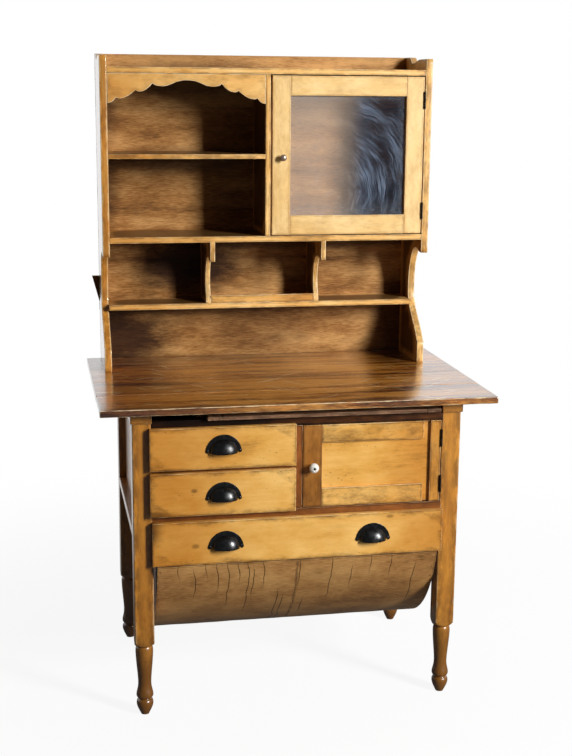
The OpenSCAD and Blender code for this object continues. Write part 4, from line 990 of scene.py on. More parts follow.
def grain_coordinates(points: np.ndarray, low: np.ndarray, size: np.ndarray, grain: Grain,
                      rng: np.random.Generator) -> np.ndarray:
    """Metres along, across and through a board, moved so that the heart lies behind it.

    Args:
        points: the board's points.
        low: its lowest corner.
        size: its three sides.
        grain: the way its fibres run.
        rng: the board's own random numbers.

    Returns:
        One row a point.
    """
    along = grain.value
    rest = sorted((i for i in range(3) if i != along), key=lambda i: -size[i])
    order = [along, *rest]
    shift = np.array([rng.uniform(0, 40), rng.uniform(-0.06, 0.06), rng.uniform(0.03, 0.09)])
    return ((points - low - size / 2) * MM)[:, order] + shift


def cubic(a: Span, b: Span, c: Span, d: Span, count: int = 10) -> np.ndarray:
    """Points of a cubic curve with end points a, d and handles b, c, the first one left out.

    Args:
        a: the start.
        b: the first handle.
        c: the second handle.
        d: the end.
        count: how many points.

    Returns:
        One row a point.
    """
    t = np.linspace(0, 1, count + 1)[1:, None]
    ends = [np.array(p, float) for p in (a, b, c, d)]
    return ((1 - t) ** 3 * ends[0] + 3 * (1 - t) ** 2 * t * ends[1]
            + 3 * (1 - t) * t**2 * ends[2] + t**3 * ends[3])


def refined(outline: np.ndarray, step: float) -> np.ndarray:
    """A closed outline with extra points, so that none lie further than step apart.

    Args:
        outline: one row a point.
        step: the longest stretch left.

    Returns:
        The outline with its new points.
    """
    after = np.roll(outline, -1, axis=0)
    counts = np.maximum(1, np.ceil(np.linalg.norm(after - outline, axis=1) / step).astype(int))
    share = np.concatenate([np.arange(n) / n for n in counts])[:, None]
    which = np.repeat(np.arange(len(outline)), counts)
    return outline[which] * (1 - share) + after[which] * share


def filled(ring: np.ndarray, spacing: float) -> tuple[np.ndarray, np.ndarray]:
    """Fills a ring with triangles: a grid of points inside it, joined by Delaunay's rule.

    Args:
        ring: the ring's points, in order.
        spacing: distance between the inner points.

    Returns:
        The inner points, and triangles whose indices run through the ring and then through
        the inner points.
    """
    low, high = ring.min(axis=0), ring.max(axis=0)
    u, v = np.meshgrid(np.arange(low[0] + spacing / 2, high[0], spacing),
                       np.arange(low[1] + spacing / 2, high[1], spacing))
    grid = np.stack([u.ravel(), v.ravel()], 1)
    near = np.linalg.norm(grid[:, None] - ring[None], axis=2).min(axis=1)
    every = np.concatenate([ring, grid[near > spacing / 3]])
    made, _, found, sources, _, _ = delaunay_2d_cdt(
        [Vector(p) for p in every.tolist()], [], [list(range(len(ring)))], 1, 1e-6)
    first = np.array([source[0] if source else -1 for source in sources])
    fresh = np.flatnonzero(first < 0)
    first[fresh] = len(every) + np.arange(len(fresh))
    every = np.concatenate([every, np.array([made[i][:] for i in fresh]).reshape(-1, 2)])
    triangles = first[np.array(found)]
    used = np.unique(triangles[triangles >= len(ring)])
    index = np.arange(len(every))
    index[used] = len(ring) + np.arange(len(used))
    return every[used], index[triangles]


def inset(outline: np.ndarray, amount: float) -> np.ndarray:
    """The outline (counter-clockwise) moved in: each point goes along its mitre.

    Args:
        outline: one row a point.
        amount: how far in.

    Returns:
        As many points, moved.
    """
    before = outline - np.roll(outline, 1, axis=0)
    after = np.roll(outline, -1, axis=0) - outline
    normals = []
    for way in (before, after):
        unit = way / np.maximum(np.linalg.norm(way, axis=1, keepdims=True), 1e-9)
        normals.append(np.stack([-unit[:, 1], unit[:, 0]], 1))
    total = normals[0] + normals[1]
    mitre = total / np.maximum((total * total).sum(1, keepdims=True) / 2.0, 0.7)
    return outline + amount * mitre


@dataclass
class SawnBoard:
    """A board sawn to an outline: an edge profile carried round the outline.

    The profile goes from one face's wear line over a quarter round, across the edge and over
    the other quarter round. The two faces inside the wear lines are single flat faces.
    """

    outline: np.ndarray
    plane: tuple[int, int]
    across: Span
    grain: Grain
    name: str
    edge: float = 1.2
    rim: float = 5.0
    step: float = 14.0
    uneven: float = 0.25
    dents: float = 0.4

    def stock(self) -> Stock:
        """The board as arrays; plane gives the two axes that the outline is drawn in.

        Returns:
            The board's arrays.
        """
        rng = seed_of(self.name)
        shape = np.asarray(self.outline, float)
        turn = np.roll(shape, -1, axis=0)
        if (shape[:, 0] * turn[:, 1] - turn[:, 0] * shape[:, 1]).sum() < 0:
            shape = shape[::-1]
        shape = refined(shape, self.step)
        thick = self.across[1] - self.across[0]
        bend = np.radians([0.0, 30.0, 60.0, 90.0])
        face_in = np.concatenate([[self.rim, 1.7 * self.edge], self.edge * (1 - np.sin(bend))])
        face_up = np.concatenate([[0.0, 0.0], self.edge * (1 - np.cos(bend))])
        ins = np.concatenate([face_in, [0.0], face_in[::-1]])
        ups = np.concatenate([face_up, [thick / 2], thick - face_up[::-1]])
        rings = np.stack([inset(shape, float(i)) for i in ins])
        inner, triangles = filled(rings[0], 3 * self.step)
        flat = np.concatenate([rings.reshape(-1, 2), inner, inner])
        count, rows, extra = len(shape), len(ins), len(inner)
        height = np.concatenate([np.repeat(ups, count), np.zeros(extra), np.full(extra, thick)])
        normal_axis = 3 - sum(self.plane)
        points = np.empty((len(flat), 3))
        points[:, self.plane[0]], points[:, self.plane[1]] = flat[:, 0], flat[:, 1]
        points[:, normal_axis] = self.across[0] + height
        arris = np.clip(1.0 - np.maximum(ins - self.edge, 0) / (self.rim - self.edge), 0, 1)
        arris = np.repeat(arris * np.where(ups == thick / 2, 0.35, 1.0), count)
        arris = np.concatenate([arris, np.zeros(2 * extra)])
        body, last = rows * count, (rows - 1) * count
        low_cap = np.where(triangles < count, triangles, triangles - count + body)
        high_cap = np.where(triangles < count, triangles + last, triangles - count + body + extra)
        faces = grid_quads(rows, count, wrap=True)[:, ::-1].tolist()
        faces += low_cap[:, ::-1].tolist() + high_cap.tolist()
        if (self.plane[0] + 1) % 3 != self.plane[1]:
            faces = [f[::-1] for f in faces]
        inward = np.where(height < thick / 2, 1.0, -1.0)
        inward *= np.minimum(height, thick - height) < self.edge + 0.01
        sunk = self.uneven * ripple(points, rng, 160.0)
        sunk += self.dents * arris**2 * np.clip(ripple(points, rng, 24.0) - 0.5, 0, 1)
        low, high = points.min(axis=0), points.max(axis=0)
        grain = grain_coordinates(points, low, high - low, self.grain, rng)
        points[:, normal_axis] += inward * sunk
        inset_ = np.concatenate([np.repeat(np.maximum(ins - self.edge, 0), count),
                                 np.full(2 * extra, 25.0)]) * MM
        return Stock(points, faces, arris, grain, np.full(len(points), rng.uniform(-1, 1)),
                     inset=inset_)


@dataclass
class Turning:
    """A turned piece: a profile of (radius, height) carried round its axis.

    Where square is given, the radius at an angle is no more than that of a square of that half
    width with rounded corners, so a square block grows out of the round.
    """

    profile: np.ndarray
    centre: Triple
    name: str
    axis: Grain = Grain.UPRIGHT
    square: Optional[float] = None
    lobes: tuple[int, float] = (0, 0.0)
    segments: int = 96

    def stock(self) -> Stock:
        """The piece as arrays, with its height along axis (forward, to -depth, where DEEP).

        Returns:
            The turned piece's arrays.
        """
        rng = seed_of(self.name)
        angle = np.linspace(0, math.tau, self.segments, endpoint=False)
        radius = np.repeat(self.profile[:, :1], self.segments, axis=1)
        arris = np.zeros_like(radius)
        if self.square:
            c, s = np.abs(np.cos(angle)), np.abs(np.sin(angle))
            limit = self.square * (c**36 + s**36) ** (-1 / 36)
            arris = np.where(radius > limit, np.clip(limit / self.square - 0.9, 0, 0.5) * 2, 0.1)
            radius = np.minimum(radius, limit)
        if self.lobes[0]:
            radius = radius * (1 + self.lobes[1] * np.cos(self.lobes[0] * angle))
        height = np.repeat(self.profile[:, 1:2], self.segments, axis=1)
        wide, deep = radius * np.cos(angle), radius * np.sin(angle)
        if self.axis is Grain.UPRIGHT:
            parts = [wide, deep, height]
        else:
            parts = [wide, -height, deep]
        points = np.stack(parts, -1).reshape(-1, 3) + np.array(self.centre)
        rows = len(self.profile)
        quads = grid_quads(rows, self.segments, wrap=True)[:, ::-1].tolist()
        caps = [list(range(self.segments))[::-1],
                list(range((rows - 1) * self.segments, rows * self.segments))]
        low, high = points.min(axis=0), points.max(axis=0)
        return Stock(points, quads + caps, arris.ravel(),
                     grain_coordinates(points, low, high - low, self.axis, rng),
                     np.full(len(points), rng.uniform(-1, 1)))


# ---------------------------------------------------------------- sub-assemblies


@dataclass
class Assembly(ABC):
    """A sub-assembly: it builds its pieces and says what they ride on and stand for."""

    body: str = "cabinet"

    @abstractmethod
    def build(self) -> None:
        """Builds and dresses every piece of the sub-assembly."""

    def put(self, node: str, stock: Union[Stock, Sequence[Stock]], finish: Finish,
            slot: str) -> bpy.types.Object:
        """Turns stock into the piece that stands for a CAD node.

        Args:
            node: the CAD node's name.
            stock: one or several closed shells.
            finish: the piece's finish.
            slot: the record's material slot; not used.

        Returns:
            The piece.
        """
        whole = stock if isinstance(stock, Stock) else Stock.joined(stock)
        made = whole.to_object(f"{node}_dressed", finish)
        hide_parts(node)
        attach(made, self.body)
        LOG.info("%s: %d points, %d faces", made.name, len(whole.points), len(whole.faces))
        return made

    def plain(self, node: str, grain: Grain, finish: Finish, slot: str, **cut: float) -> None:
        """A piece that is one board filling its CAD node's box.

        Args:
            node: the CAD node.
            grain: the way its fibres run.
            finish: its finish.
            slot: its material slot.
            **cut: more of Board's fields.
        """
        low, high = (np.array(c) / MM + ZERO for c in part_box(node))
        self.put(node, Board((low[0], high[0]), (low[1], high[1]), (low[2], high[2]), grain, node,
                             **cut).stock(), finish, slot)

    @staticmethod
    def dress(node: str, finish: Finish) -> None:
        """Gives a CAD node that is shown as it is its finish.

        Args:
            node: the CAD node.
            finish: its finish.
        """
        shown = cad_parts[node]
        shown.data.materials.clear()
        shown.data.materials.append(finish.material())


@dataclass
class Worktop(Assembly):
    """Four glued boards; the front one is worn round."""

    ends: Span = (-486.0, 492.0)
    depth: float = 635.0
    top: float = 800.0
    thick: float = 17.5
    boards: int = 4
    front_round: float = 2.8

    def build(self) -> None:
        """Builds the boards side by side."""
        wide = self.depth / self.boards
        pieces = [
            Board(self.ends, (i * wide, (i + 1) * wide),
                  (self.top - self.thick, self.top), Grain.ACROSS, f"worktop {i}",
                  edge=self.front_round if i == 0 else 1.0, rim=9.0 if i == 0 else 4.0,
                  step=24.0 if i == 0 else 45.0, dents=2.2 if i == 0 else 0.8).stock()
            for i in range(self.boards)]
        for piece in pieces:
            seam = np.abs(piece.points[:, 1:2] - wide * np.arange(1, self.boards)).min(axis=1)
            piece.arris *= np.clip(seam / 6.0 - 0.2, 0.0, 1.0)
        self.put("worktop", pieces, BOARD["worktop"], "worktop_wood")


@dataclass
class TableFrame(Assembly):
    """Legs, bearers, rails, panels and the hidden boards of the table."""

    leg_half: float = 24.0
    leg_x: float = 385.0
    leg_front: float = 64.0
    leg_rear: float = 553.0
    leg_top: float = 755.5
    turned: float = 188.0
    turned_r: float = 22.0
    waist: float = 16.4
    foot: float = 21.0
    leg_in: float = 361.0
    leg_back: float = 88.0
    rear_front: float = 529.0
    panel: Span = (379.0, 391.0)
    low_rail: Span = (462.0, 482.0)
    back_depth: Span = (553.0, 577.0)

    def leg_profile(self) -> np.ndarray:
        """Half outline of a leg, as (radius, height), from the foot up.

        Returns:
            One row a point.
        """
        foot, waist, top, tall = self.foot, self.waist, self.turned_r, self.turned
        wide = 2 * self.leg_half
        shaft = np.linspace(tall + 16, self.leg_top - 2, 16)
        return np.concatenate([
            [[foot * 0.42, 0], [foot * 0.48, 0.4]],
            cubic((foot * 0.48, 0.4), (foot * 0.6, 7), (foot * 0.98, 19), (foot, 30), 12),
            cubic((foot, 30), (foot, 34), (foot - 0.6, 37.5), (foot - 2.5, 39.5), 6),
            [[foot - 4.6, 40.2], [foot - 5.4, 41.2], [foot - 5.6, 42.1], [foot - 5.4, 43]],
            cubic((foot - 5.4, 43), (foot - 2.5, 45), (foot + 0.2, 47), (foot + 0.2, 52), 8),
            cubic((foot + 0.2, 52), (foot + 0.2, 62), (waist, 68), (waist, 85), 12),
            cubic((waist, 85), (waist, 105), (top - 1, tall - 53), (top, tall - 20), 12),
            cubic((top, tall - 20), (top, tall - 12), (top - 1, tall - 8), (top - 2.5, tall - 6),
                  5),
            [[top - 2.8, tall - 4.6], [top - 2.5, tall - 3.5]],
            cubic((top - 2.5, tall - 3.5), (wide * 0.52, tall - 2), (wide * 0.66, tall + 4),
                  (wide * 0.72, tall + 13), 10),
            np.stack([np.full(16, wide * 0.72), shaft], 1),
            [[wide * 0.72, self.leg_top - 0.4], [wide * 0.69, self.leg_top]],
        ])

    def build(self) -> None:
        """Builds the legs, then the boards that join them."""
        profile = self.leg_profile()
        for name, x, depth in (("front_left", -self.leg_x, self.leg_front),
                               ("front_right", self.leg_x, self.leg_front),
                               ("rear_left", -self.leg_x, self.leg_rear),
                               ("rear_right", self.leg_x, self.leg_rear)):
            leg = Turning(profile, (x, depth, 0.0), f"leg {name}", square=self.leg_half)
            self.put(f"leg_{name}", leg.stock(), BOARD["frame"], "frame_wood")
        self.plain("top_rail", Grain.ACROSS, BOARD["grime_and_shade"], "rail_wood")
        self.plain("drawer_rail", Grain.ACROSS, BOARD["rail"], "rail_wood")
        self.plain("middle_rail", Grain.ACROSS, BOARD["rail"], "rail_wood")
        self.plain("centre_stile", Grain.UPRIGHT, BOARD["rail"], "rail_wood")
        self.plain("table_back", Grain.ACROSS, BOARD["inner"], "inner_wood")
        self.plain("partition", Grain.DEEP, BOARD["inner"], "inner_wood")
        self.build_pairs()

    def mirrored(self, node: str, x: Span, depth: Span, z: Span, grain: Grain, finish: Finish,
                 slot: str, **cut: float) -> list[Stock]:
        """The same board on the left and on the right, each with its own figure."""
        return [Board(span, depth, z, grain, f"{node} {i}", **cut).stock()
                for i, span in enumerate(((-x[1], -x[0]), x))]

    def build_pairs(self) -> None:
        """Builds the nodes that hold more than one board."""
        inner, frame_wood = BOARD["inner"], BOARD["frame"]
        between = (self.leg_back, self.rear_front)
        self.put("bearers", self.mirrored("bearers", (361.0, 413.0), (36.0, 577.0), (755.5, 782.5),
                                          Grain.DEEP, frame_wood, "frame_wood"),
                 frame_wood, "frame_wood")
        self.put("side_panels", self.mirrored("side_panels", self.panel, between, (482.0, 755.5),
                                              Grain.DEEP, frame_wood, "frame_wood"),
                 frame_wood, "frame_wood")
        low = self.mirrored("lower_rails", (379.0, 409.0), between, self.low_rail, Grain.DEEP,
                            frame_wood, "frame_wood")
        low.append(Board((-self.leg_in, self.leg_in), self.back_depth, self.low_rail, Grain.ACROSS,
                         "lower_rails back").stock())
        self.put("lower_rails", low, frame_wood, "frame_wood")
        floor = [Board((-self.leg_in, self.leg_in), (62.0, 565.0), (514.1, 526.1), Grain.ACROSS,
                       "cupboard_floor").stock()]
        floor += self.mirrored("cupboard_floor side", (self.leg_in, 379.0), between,
                               (514.1, 526.1), Grain.ACROSS, inner, "inner_wood")
        self.put("cupboard_floor", floor, inner, "inner_wood")
        runners = [Board((-379.0, -348.0), between, (628.1, 644.1), Grain.DEEP, "runner l").stock(),
                   Board((-32.5, -12.5), (62.0, 565.0), (628.1, 644.1), Grain.DEEP,
                         "runner r").stock()]
        self.put("drawer_runners", runners, inner, "inner_wood")
        self.put("bin_runners", self.mirrored("bin_runners", (354.0, self.leg_in), (40.0, 577.0),
                                              (426.7, 444.7), Grain.DEEP, inner, "inner_wood"),
                 inner, "inner_wood")
        guides = []
        for i, (lip, wall) in enumerate((((341.0, 361.0), (354.0, 361.0)),
                                         ((-250.0, -217.0), (-250.0, -230.0)))):
            low_z = (751.7, 760.1)
            guides.append(Board(lip, (62.0, 565.0), low_z, Grain.DEEP, f"guide lip {i}").stock())
            guides.append(Board(wall, (62.0, 565.0), (760.0, 782.5), Grain.DEEP,
                                f"guide wall {i}").stock())
        self.put("bread_guides", guides, inner, "inner_wood")


@dataclass
class BreadBoard(Assembly):
    """A thin board between two cleats that slide over its tongues."""

    body: str = "bread_board"
    x: Span = (-229.0, 353.0)
    depth: Span = (24.0, 494.0)
    z: Span = (760.5, 769.5)
    cleat: float = 36.0

    def build(self) -> None:
        """Builds the board in three widths and its cleats."""
        left, right = self.x[0] + self.cleat, self.x[1] - self.cleat
        pieces = [Board((self.x[0], left - 0.1), self.depth, self.z, Grain.DEEP, "cleat l",
                        edge=1.6).stock(),
                  Board((right + 0.1, self.x[1]), self.depth, self.z, Grain.DEEP, "cleat r",
                        edge=1.6).stock()]
        cuts = np.linspace(self.depth[0], self.depth[1], 4)
        pieces += [Board((left + 0.1, right - 0.1), (cuts[i] + 0.1, cuts[i + 1] - 0.1), self.z,
                         Grain.ACROSS, f"bread {i}", edge=1.2).stock() for i in range(3)]
        self.put("bread_board", pieces, BOARD["bread"], "board_wood")


@dataclass
class CupPull(Assembly):
    """A bin cup pull: a half dome with a rolled lip on a flange with two screwed ears."""

    node: str = ""
    centres: tuple[tuple[float, float], ...] = ()
    face: float = 24.0
    wide: float = 89.0
    tall: float = 45.5
    reach: float = 21.0
    axis_back: float = 17.0
    wall: float = 2.0

    def shell(self, half: float, reach: float, count: int = 33) -> np.ndarray:
        """Half dome: turned about an axis that lies behind the front, as (rows, columns, 3).

        At the share s from one end to the other the radius is the axis's depth plus reach times
        the cosine of s; the columns turn from level up to the front's face.

        Args:
            half: half its width.
            reach: how far it stands out.
            count: how many rows.

        Returns:
            The grid of points.
        """
        s = np.linspace(-np.pi / 2, np.pi / 2, count)[:, None]
        radius = self.axis_back + reach * np.cos(s)
        top = np.arccos(np.clip(self.axis_back / radius, -1, 1))
        turn = np.linspace(0, 1, 17)[None, :] * top
        x = half * np.sin(s) + np.zeros_like(turn)
        return np.stack([x, self.axis_back - radius * np.cos(turn), radius * np.sin(turn)], -1)

    def cup(self) -> Stock:
        """Outer and inner shells joined by the lip below and the seam at the front's face.

        Returns:
            The cup's arrays.
        """
        outer = self.shell(self.wide / 2 - 10.5, self.reach)
        inner = self.shell(self.wide / 2 - 10.5 - self.wall, self.reach - self.wall)
        rows, columns = outer.shape[:2]
        points = np.concatenate([outer.reshape(-1, 3), inner.reshape(-1, 3)])
        half = rows * columns
        out = grid_quads(rows, columns)
        quads = [out, out[:, ::-1] + half]
        line = np.arange(rows - 1) * columns
        lip = np.stack([line, line + columns, line + columns + half, line + half], 1)
        seam = lip + columns - 1
        quads += [lip[:, ::-1], seam]
        merged, index = np.unique(points.round(4), axis=0, return_inverse=True)
        faces = index.ravel()[np.concatenate(quads)]
        clean = [list(dict.fromkeys(f)) for f in faces.tolist()]
        return self.metal(merged, [f for f in clean if len(f) > 2])

    @staticmethod
    def metal(points: np.ndarray, faces: list[list[int]]) -> Stock:
        """Stock without a figure, for metal."""
        blank = np.zeros(len(points))
        return Stock(points, faces, blank, points * MM, blank)

    def flange(self) -> Stock:
        """A horseshoe of sheet round the cup, with an ear at each end.

        Returns:
            The flange's arrays.
        """
        turn = np.linspace(0, np.pi, 41)
        half = self.wide / 2 - 0.2
        outer = np.stack([half * np.cos(turn), self.tall * np.sin(turn)], 1)
        ear = np.linspace(-np.pi / 2, np.pi * 0.3, 9)
        ears = np.stack([self.wide / 2 - 5.5 + 5.5 * np.cos(ear), 5.5 + 5.5 * np.sin(ear)], 1)
        outer = outer[(outer[:, 1] > 9.5)]
        hole_r = self.shell(self.wide / 2 - 11.5, self.reach - 1)[:, -1]
        inner = np.stack([hole_r[:, 0], hole_r[:, 2]], 1)
        outline = np.concatenate([ears, outer, (ears * (-1, 1))[::-1], inner[1:-1]])
        board = SawnBoard(outline, (0, 2), (-self.wall, 0.0), Grain.ACROSS, f"{self.node} flange",
                          edge=0.6, rim=1.4, step=4.0, uneven=0.0, dents=0.0)
        return board.stock()

    def screw(self, side: int) -> Stock:
        """A round head with a slot: a dome cut by a notch in its profile's middle.

        Args:
            side: -1 for the left ear, 1 for the right.

        Returns:
            The head's arrays.
        """
        t = np.linspace(0, 1, 8)
        profile = np.stack([3.2 * np.sqrt(1 - t**2) + 0.02, self.wall + 1.5 * t], 1)
        profile = np.concatenate([[[3.2, self.wall - 0.4]], profile])
        head = Turning(profile, (side * (self.wide / 2 - 5.5), 0.0, 5.5), "screw", Grain.DEEP,
                       segments=20).stock()
        notch = np.abs(head.points[:, 0] - side * (self.wide / 2 - 5.5)) < 0.5
        head.points[:, 1] += np.where(notch & (head.points[:, 1] < -self.wall), 0.5, 0.0)
        return head

    def build(self) -> None:
        """Builds a pull at each centre of its lower edge."""
        parts = []
        for x, z in self.centres:
            for piece in (self.cup(), self.flange(), self.screw(-1), self.screw(1)):
                piece.points = piece.points + (x, self.face, z)
                parts.append(piece)
        self.put(self.node, parts, IRON, "black_iron")


@dataclass
class Drawer(Assembly):
    """A drawer with an overlay front, grooved box and cup pull."""

    name: str = "upper"
    front_z: Span = (639.7, 744.1)
    open_z: Span = (644.1, 737.1)
    pull_z: float = 680.4
    front_x: Span = (-369.0, -11.4)
    box_x: Span = (-359.0, -18.0)
    front_depth: Span = (24.0, 39.5)
    back: float = 509.5
    wall: float = 11.0
    bottom_up: float = 8.4
    bottom_t: float = 5.0

    def build(self) -> None:
        """Builds the front, the box and the pull."""
        node = f"{self.name}_drawer"
        z = (self.open_z[0] + 0.4, self.open_z[1] - 3.0)
        front = Board(self.front_x, self.front_depth, self.front_z, Grain.ACROSS, f"{node} front",
                      edge=1.5, dents=0.9)
        self.put(f"{node}_front", front.stock(), BOARD["front"], "front_wood")
        box = BOARD["box"]
        depth = (self.front_depth[1], self.back)
        spans = ((self.box_x[0], self.box_x[0] + self.wall),
                 (self.box_x[1] - self.wall, self.box_x[1]))
        sides = [Board(x, depth, z, Grain.DEEP, f"{node} side {i}").stock()
                 for i, x in enumerate(spans)]
        self.put(f"{node}_sides", sides, box, "box_wood")
        inner = (self.box_x[0] + self.wall, self.box_x[1] - self.wall)
        self.put(f"{node}_back", Board(inner, (self.back - self.wall, self.back), z, Grain.ACROSS,
                                       f"{node} back").stock(), box, "box_wood")
        low = self.open_z[0] + self.bottom_up
        self.put(f"{node}_bottom",
                 Board((inner[0] - 4, inner[1] + 4), (depth[0], self.back - self.wall + 4),
                       (low, low + self.bottom_t), Grain.ACROSS, f"{node} bottom").stock(),
                 box, "box_wood")
        middle = (self.front_x[0] + self.front_x[1]) / 2
        CupPull(self.body, f"{node}_pull", ((middle, self.pull_z),)).build()


@dataclass
class FlourBin(Assembly):
    """A long front with a round belly of bent wood under it."""

    body: str = "flour_bin"
    front_x: float = 365.0
    front_z: Span = (399.1, 509.1)
    front_depth: Span = (24.0, 39.5)
    centre: Span = (349.87, 474.1)
    radius: float = 335.0
    sheet: float = 3.0
    end_x: Span = (339.0, 353.0)
    back: float = 510.0
    top: float = 498.1
    joint: Span = (-12.0, 2.0)
    sheet_top: float = 396.6
    pulls: tuple[tuple[float, float], ...] = ((-185.0, 437.6), (185.0, 437.6))

    def board_outline(self, back: float, top: float) -> np.ndarray:
        """Outline of a shaped board as (depth, z): squared above, the belly's arc below.

        Args:
            back: depth of its back.
            top: height of its top.

        Returns:
            One row a point.
        """
        r = self.radius - self.sheet
        start = math.acos((self.centre[1] - self.sheet_top) / r)
        end = math.asin((back - self.centre[0]) / r)
        turn = np.linspace(start, -end, 48)
        arc = np.stack([self.centre[0] - r * np.sin(turn), self.centre[1] - r * np.cos(turn)], 1)
        return np.concatenate([[[back, top], [39.5, top], [39.5, self.sheet_top]], arc])

    def belly(self) -> list[Stock]:
        """Two bent sheets with nail heads along their ends.

        A point of a sheet is at x along it, at an angle round the belly's axis, and at the
        outer radius less its place in the thickness.

        Returns:
            The sheets, then the nail heads.
        """
        start = math.acos((self.centre[1] - self.sheet_top) / self.radius)
        end = math.asin((self.back - self.centre[0]) / self.radius)
        length = (start + end) * self.radius
        sheets = []
        for i, (x0, x1) in enumerate(((-self.end_x[1], -5.6), (-4.4, self.end_x[1]))):
            rng = seed_of(f"belly {i}")
            size = np.array([x1 - x0, length, self.sheet])
            lines = [ruled_lines(size[0], 0.5, 5.0, 16.0), ruled_lines(size[1], 0.5, 5.0, 12.0),
                     ruled_lines(size[2], 0.5, 0.5, 3.0)]
            flat, quads = lattice(lines)
            near = np.sort(np.minimum(flat, size - flat), axis=1)[:, 1]
            arris = np.clip(1.0 - near / 5.0, 0, 1)
            warp = ripple(flat * (1, 1, 0), rng, 150.0) * 1.2
            turn = start - flat[:, 1] / self.radius
            reach = self.radius - flat[:, 2] - warp
            points = np.stack([x0 + flat[:, 0], self.centre[0] - reach * np.sin(turn),
                               self.centre[1] - reach * np.cos(turn)], 1)
            grain = flat * MM + (rng.uniform(0, 9), rng.uniform(-0.4, 0.4), 0.2)
            sheet = np.stack([points[:, 0] * MM, flat[:, 1] * MM, flat[:, 2] * MM], 1)
            sheets.append(Stock(points, quads.tolist(), arris, grain,
                                np.full(len(points), 0.2 - 0.5 * i), sheet))
        return sheets + self.nails(start, length)

    def nails(self, start: float, length: float) -> list[Stock]:
        """Low round heads along both ends of the belly, one shape at many places.

        Args:
            start: angle of the belly's front edge.
            length: the sheet's length round the belly.

        Returns:
            One Stock a head.
        """
        ring = np.linspace(0, math.tau, 10, endpoint=False)
        profile = ((2.2, 0.0), (2.0, 0.45), (1.2, 0.8))
        made = []
        for x in (-self.end_x[1] + 7, self.end_x[1] - 7):
            for s in np.arange(14.0, length - 8, 31.0):
                turn = start - s / self.radius
                out = np.array([0.0, -math.sin(turn), -math.cos(turn)])
                side = np.array([0.0, math.cos(turn), -math.sin(turn)])
                rows = [(self.radius - 0.7 + h) * out + r * (np.cos(ring)[:, None] * (1.0, 0.0, 0.0)
                        + np.sin(ring)[:, None] * side) for r, h in profile]
                points = np.concatenate(rows) + (x, self.centre[0], self.centre[1])
                faces = grid_quads(3, 10, wrap=True).tolist()
                faces += [list(range(10)), list(range(20, 30))[::-1]]
                blank = np.full(len(points), 1.0)
                made.append(Stock(points, faces, blank * 0, points * MM, blank * -1))
        return made

    def build(self) -> None:
        """Builds the front, the shaped boards, the sheets, the cleats and the pulls."""
        front = Board((-self.front_x, self.front_x), self.front_depth, self.front_z, Grain.ACROSS,
                      "bin front", edge=1.5, dents=1.0)
        self.put("bin_front", front.stock(), BOARD["front"], "front_wood")
        boards = BOARD["bin"]
        ends = [SawnBoard(self.board_outline(self.back, self.top), (1, 2), span, Grain.DEEP,
                          f"bin end {i}").stock()
                for i, span in enumerate(((-self.end_x[1], -self.end_x[0]), self.end_x))]
        self.put("bin_ends", ends, boards, "bin_wood")
        self.put("bin_divider",
                 SawnBoard(self.board_outline(self.back - 14, self.top - 15), (1, 2), self.joint,
                           Grain.DEEP, "bin divider").stock(), boards, "bin_wood")
        low = self.centre[1] - math.sqrt((self.radius - self.sheet) ** 2
                                         - (self.back - self.centre[0]) ** 2)
        self.put("bin_back", Board((-self.end_x[0], self.end_x[0]), (self.back - 14, self.back),
                                   (low, self.top), Grain.ACROSS, "bin back").stock(),
                 boards, "bin_wood")
        self.put("bin_belly", self.belly(), BELLY, "belly_sheet")
        cleats = [Board(x, (50.0, self.back), (445.1, 463.1), Grain.DEEP, f"bin cleat {i}").stock()
                  for i, x in enumerate(((-360.0, -353.0), (353.0, 360.0)))]
        self.put("bin_cleats", cleats, boards, "bin_wood")
        CupPull(self.body, "bin_pulls", self.pulls).build()


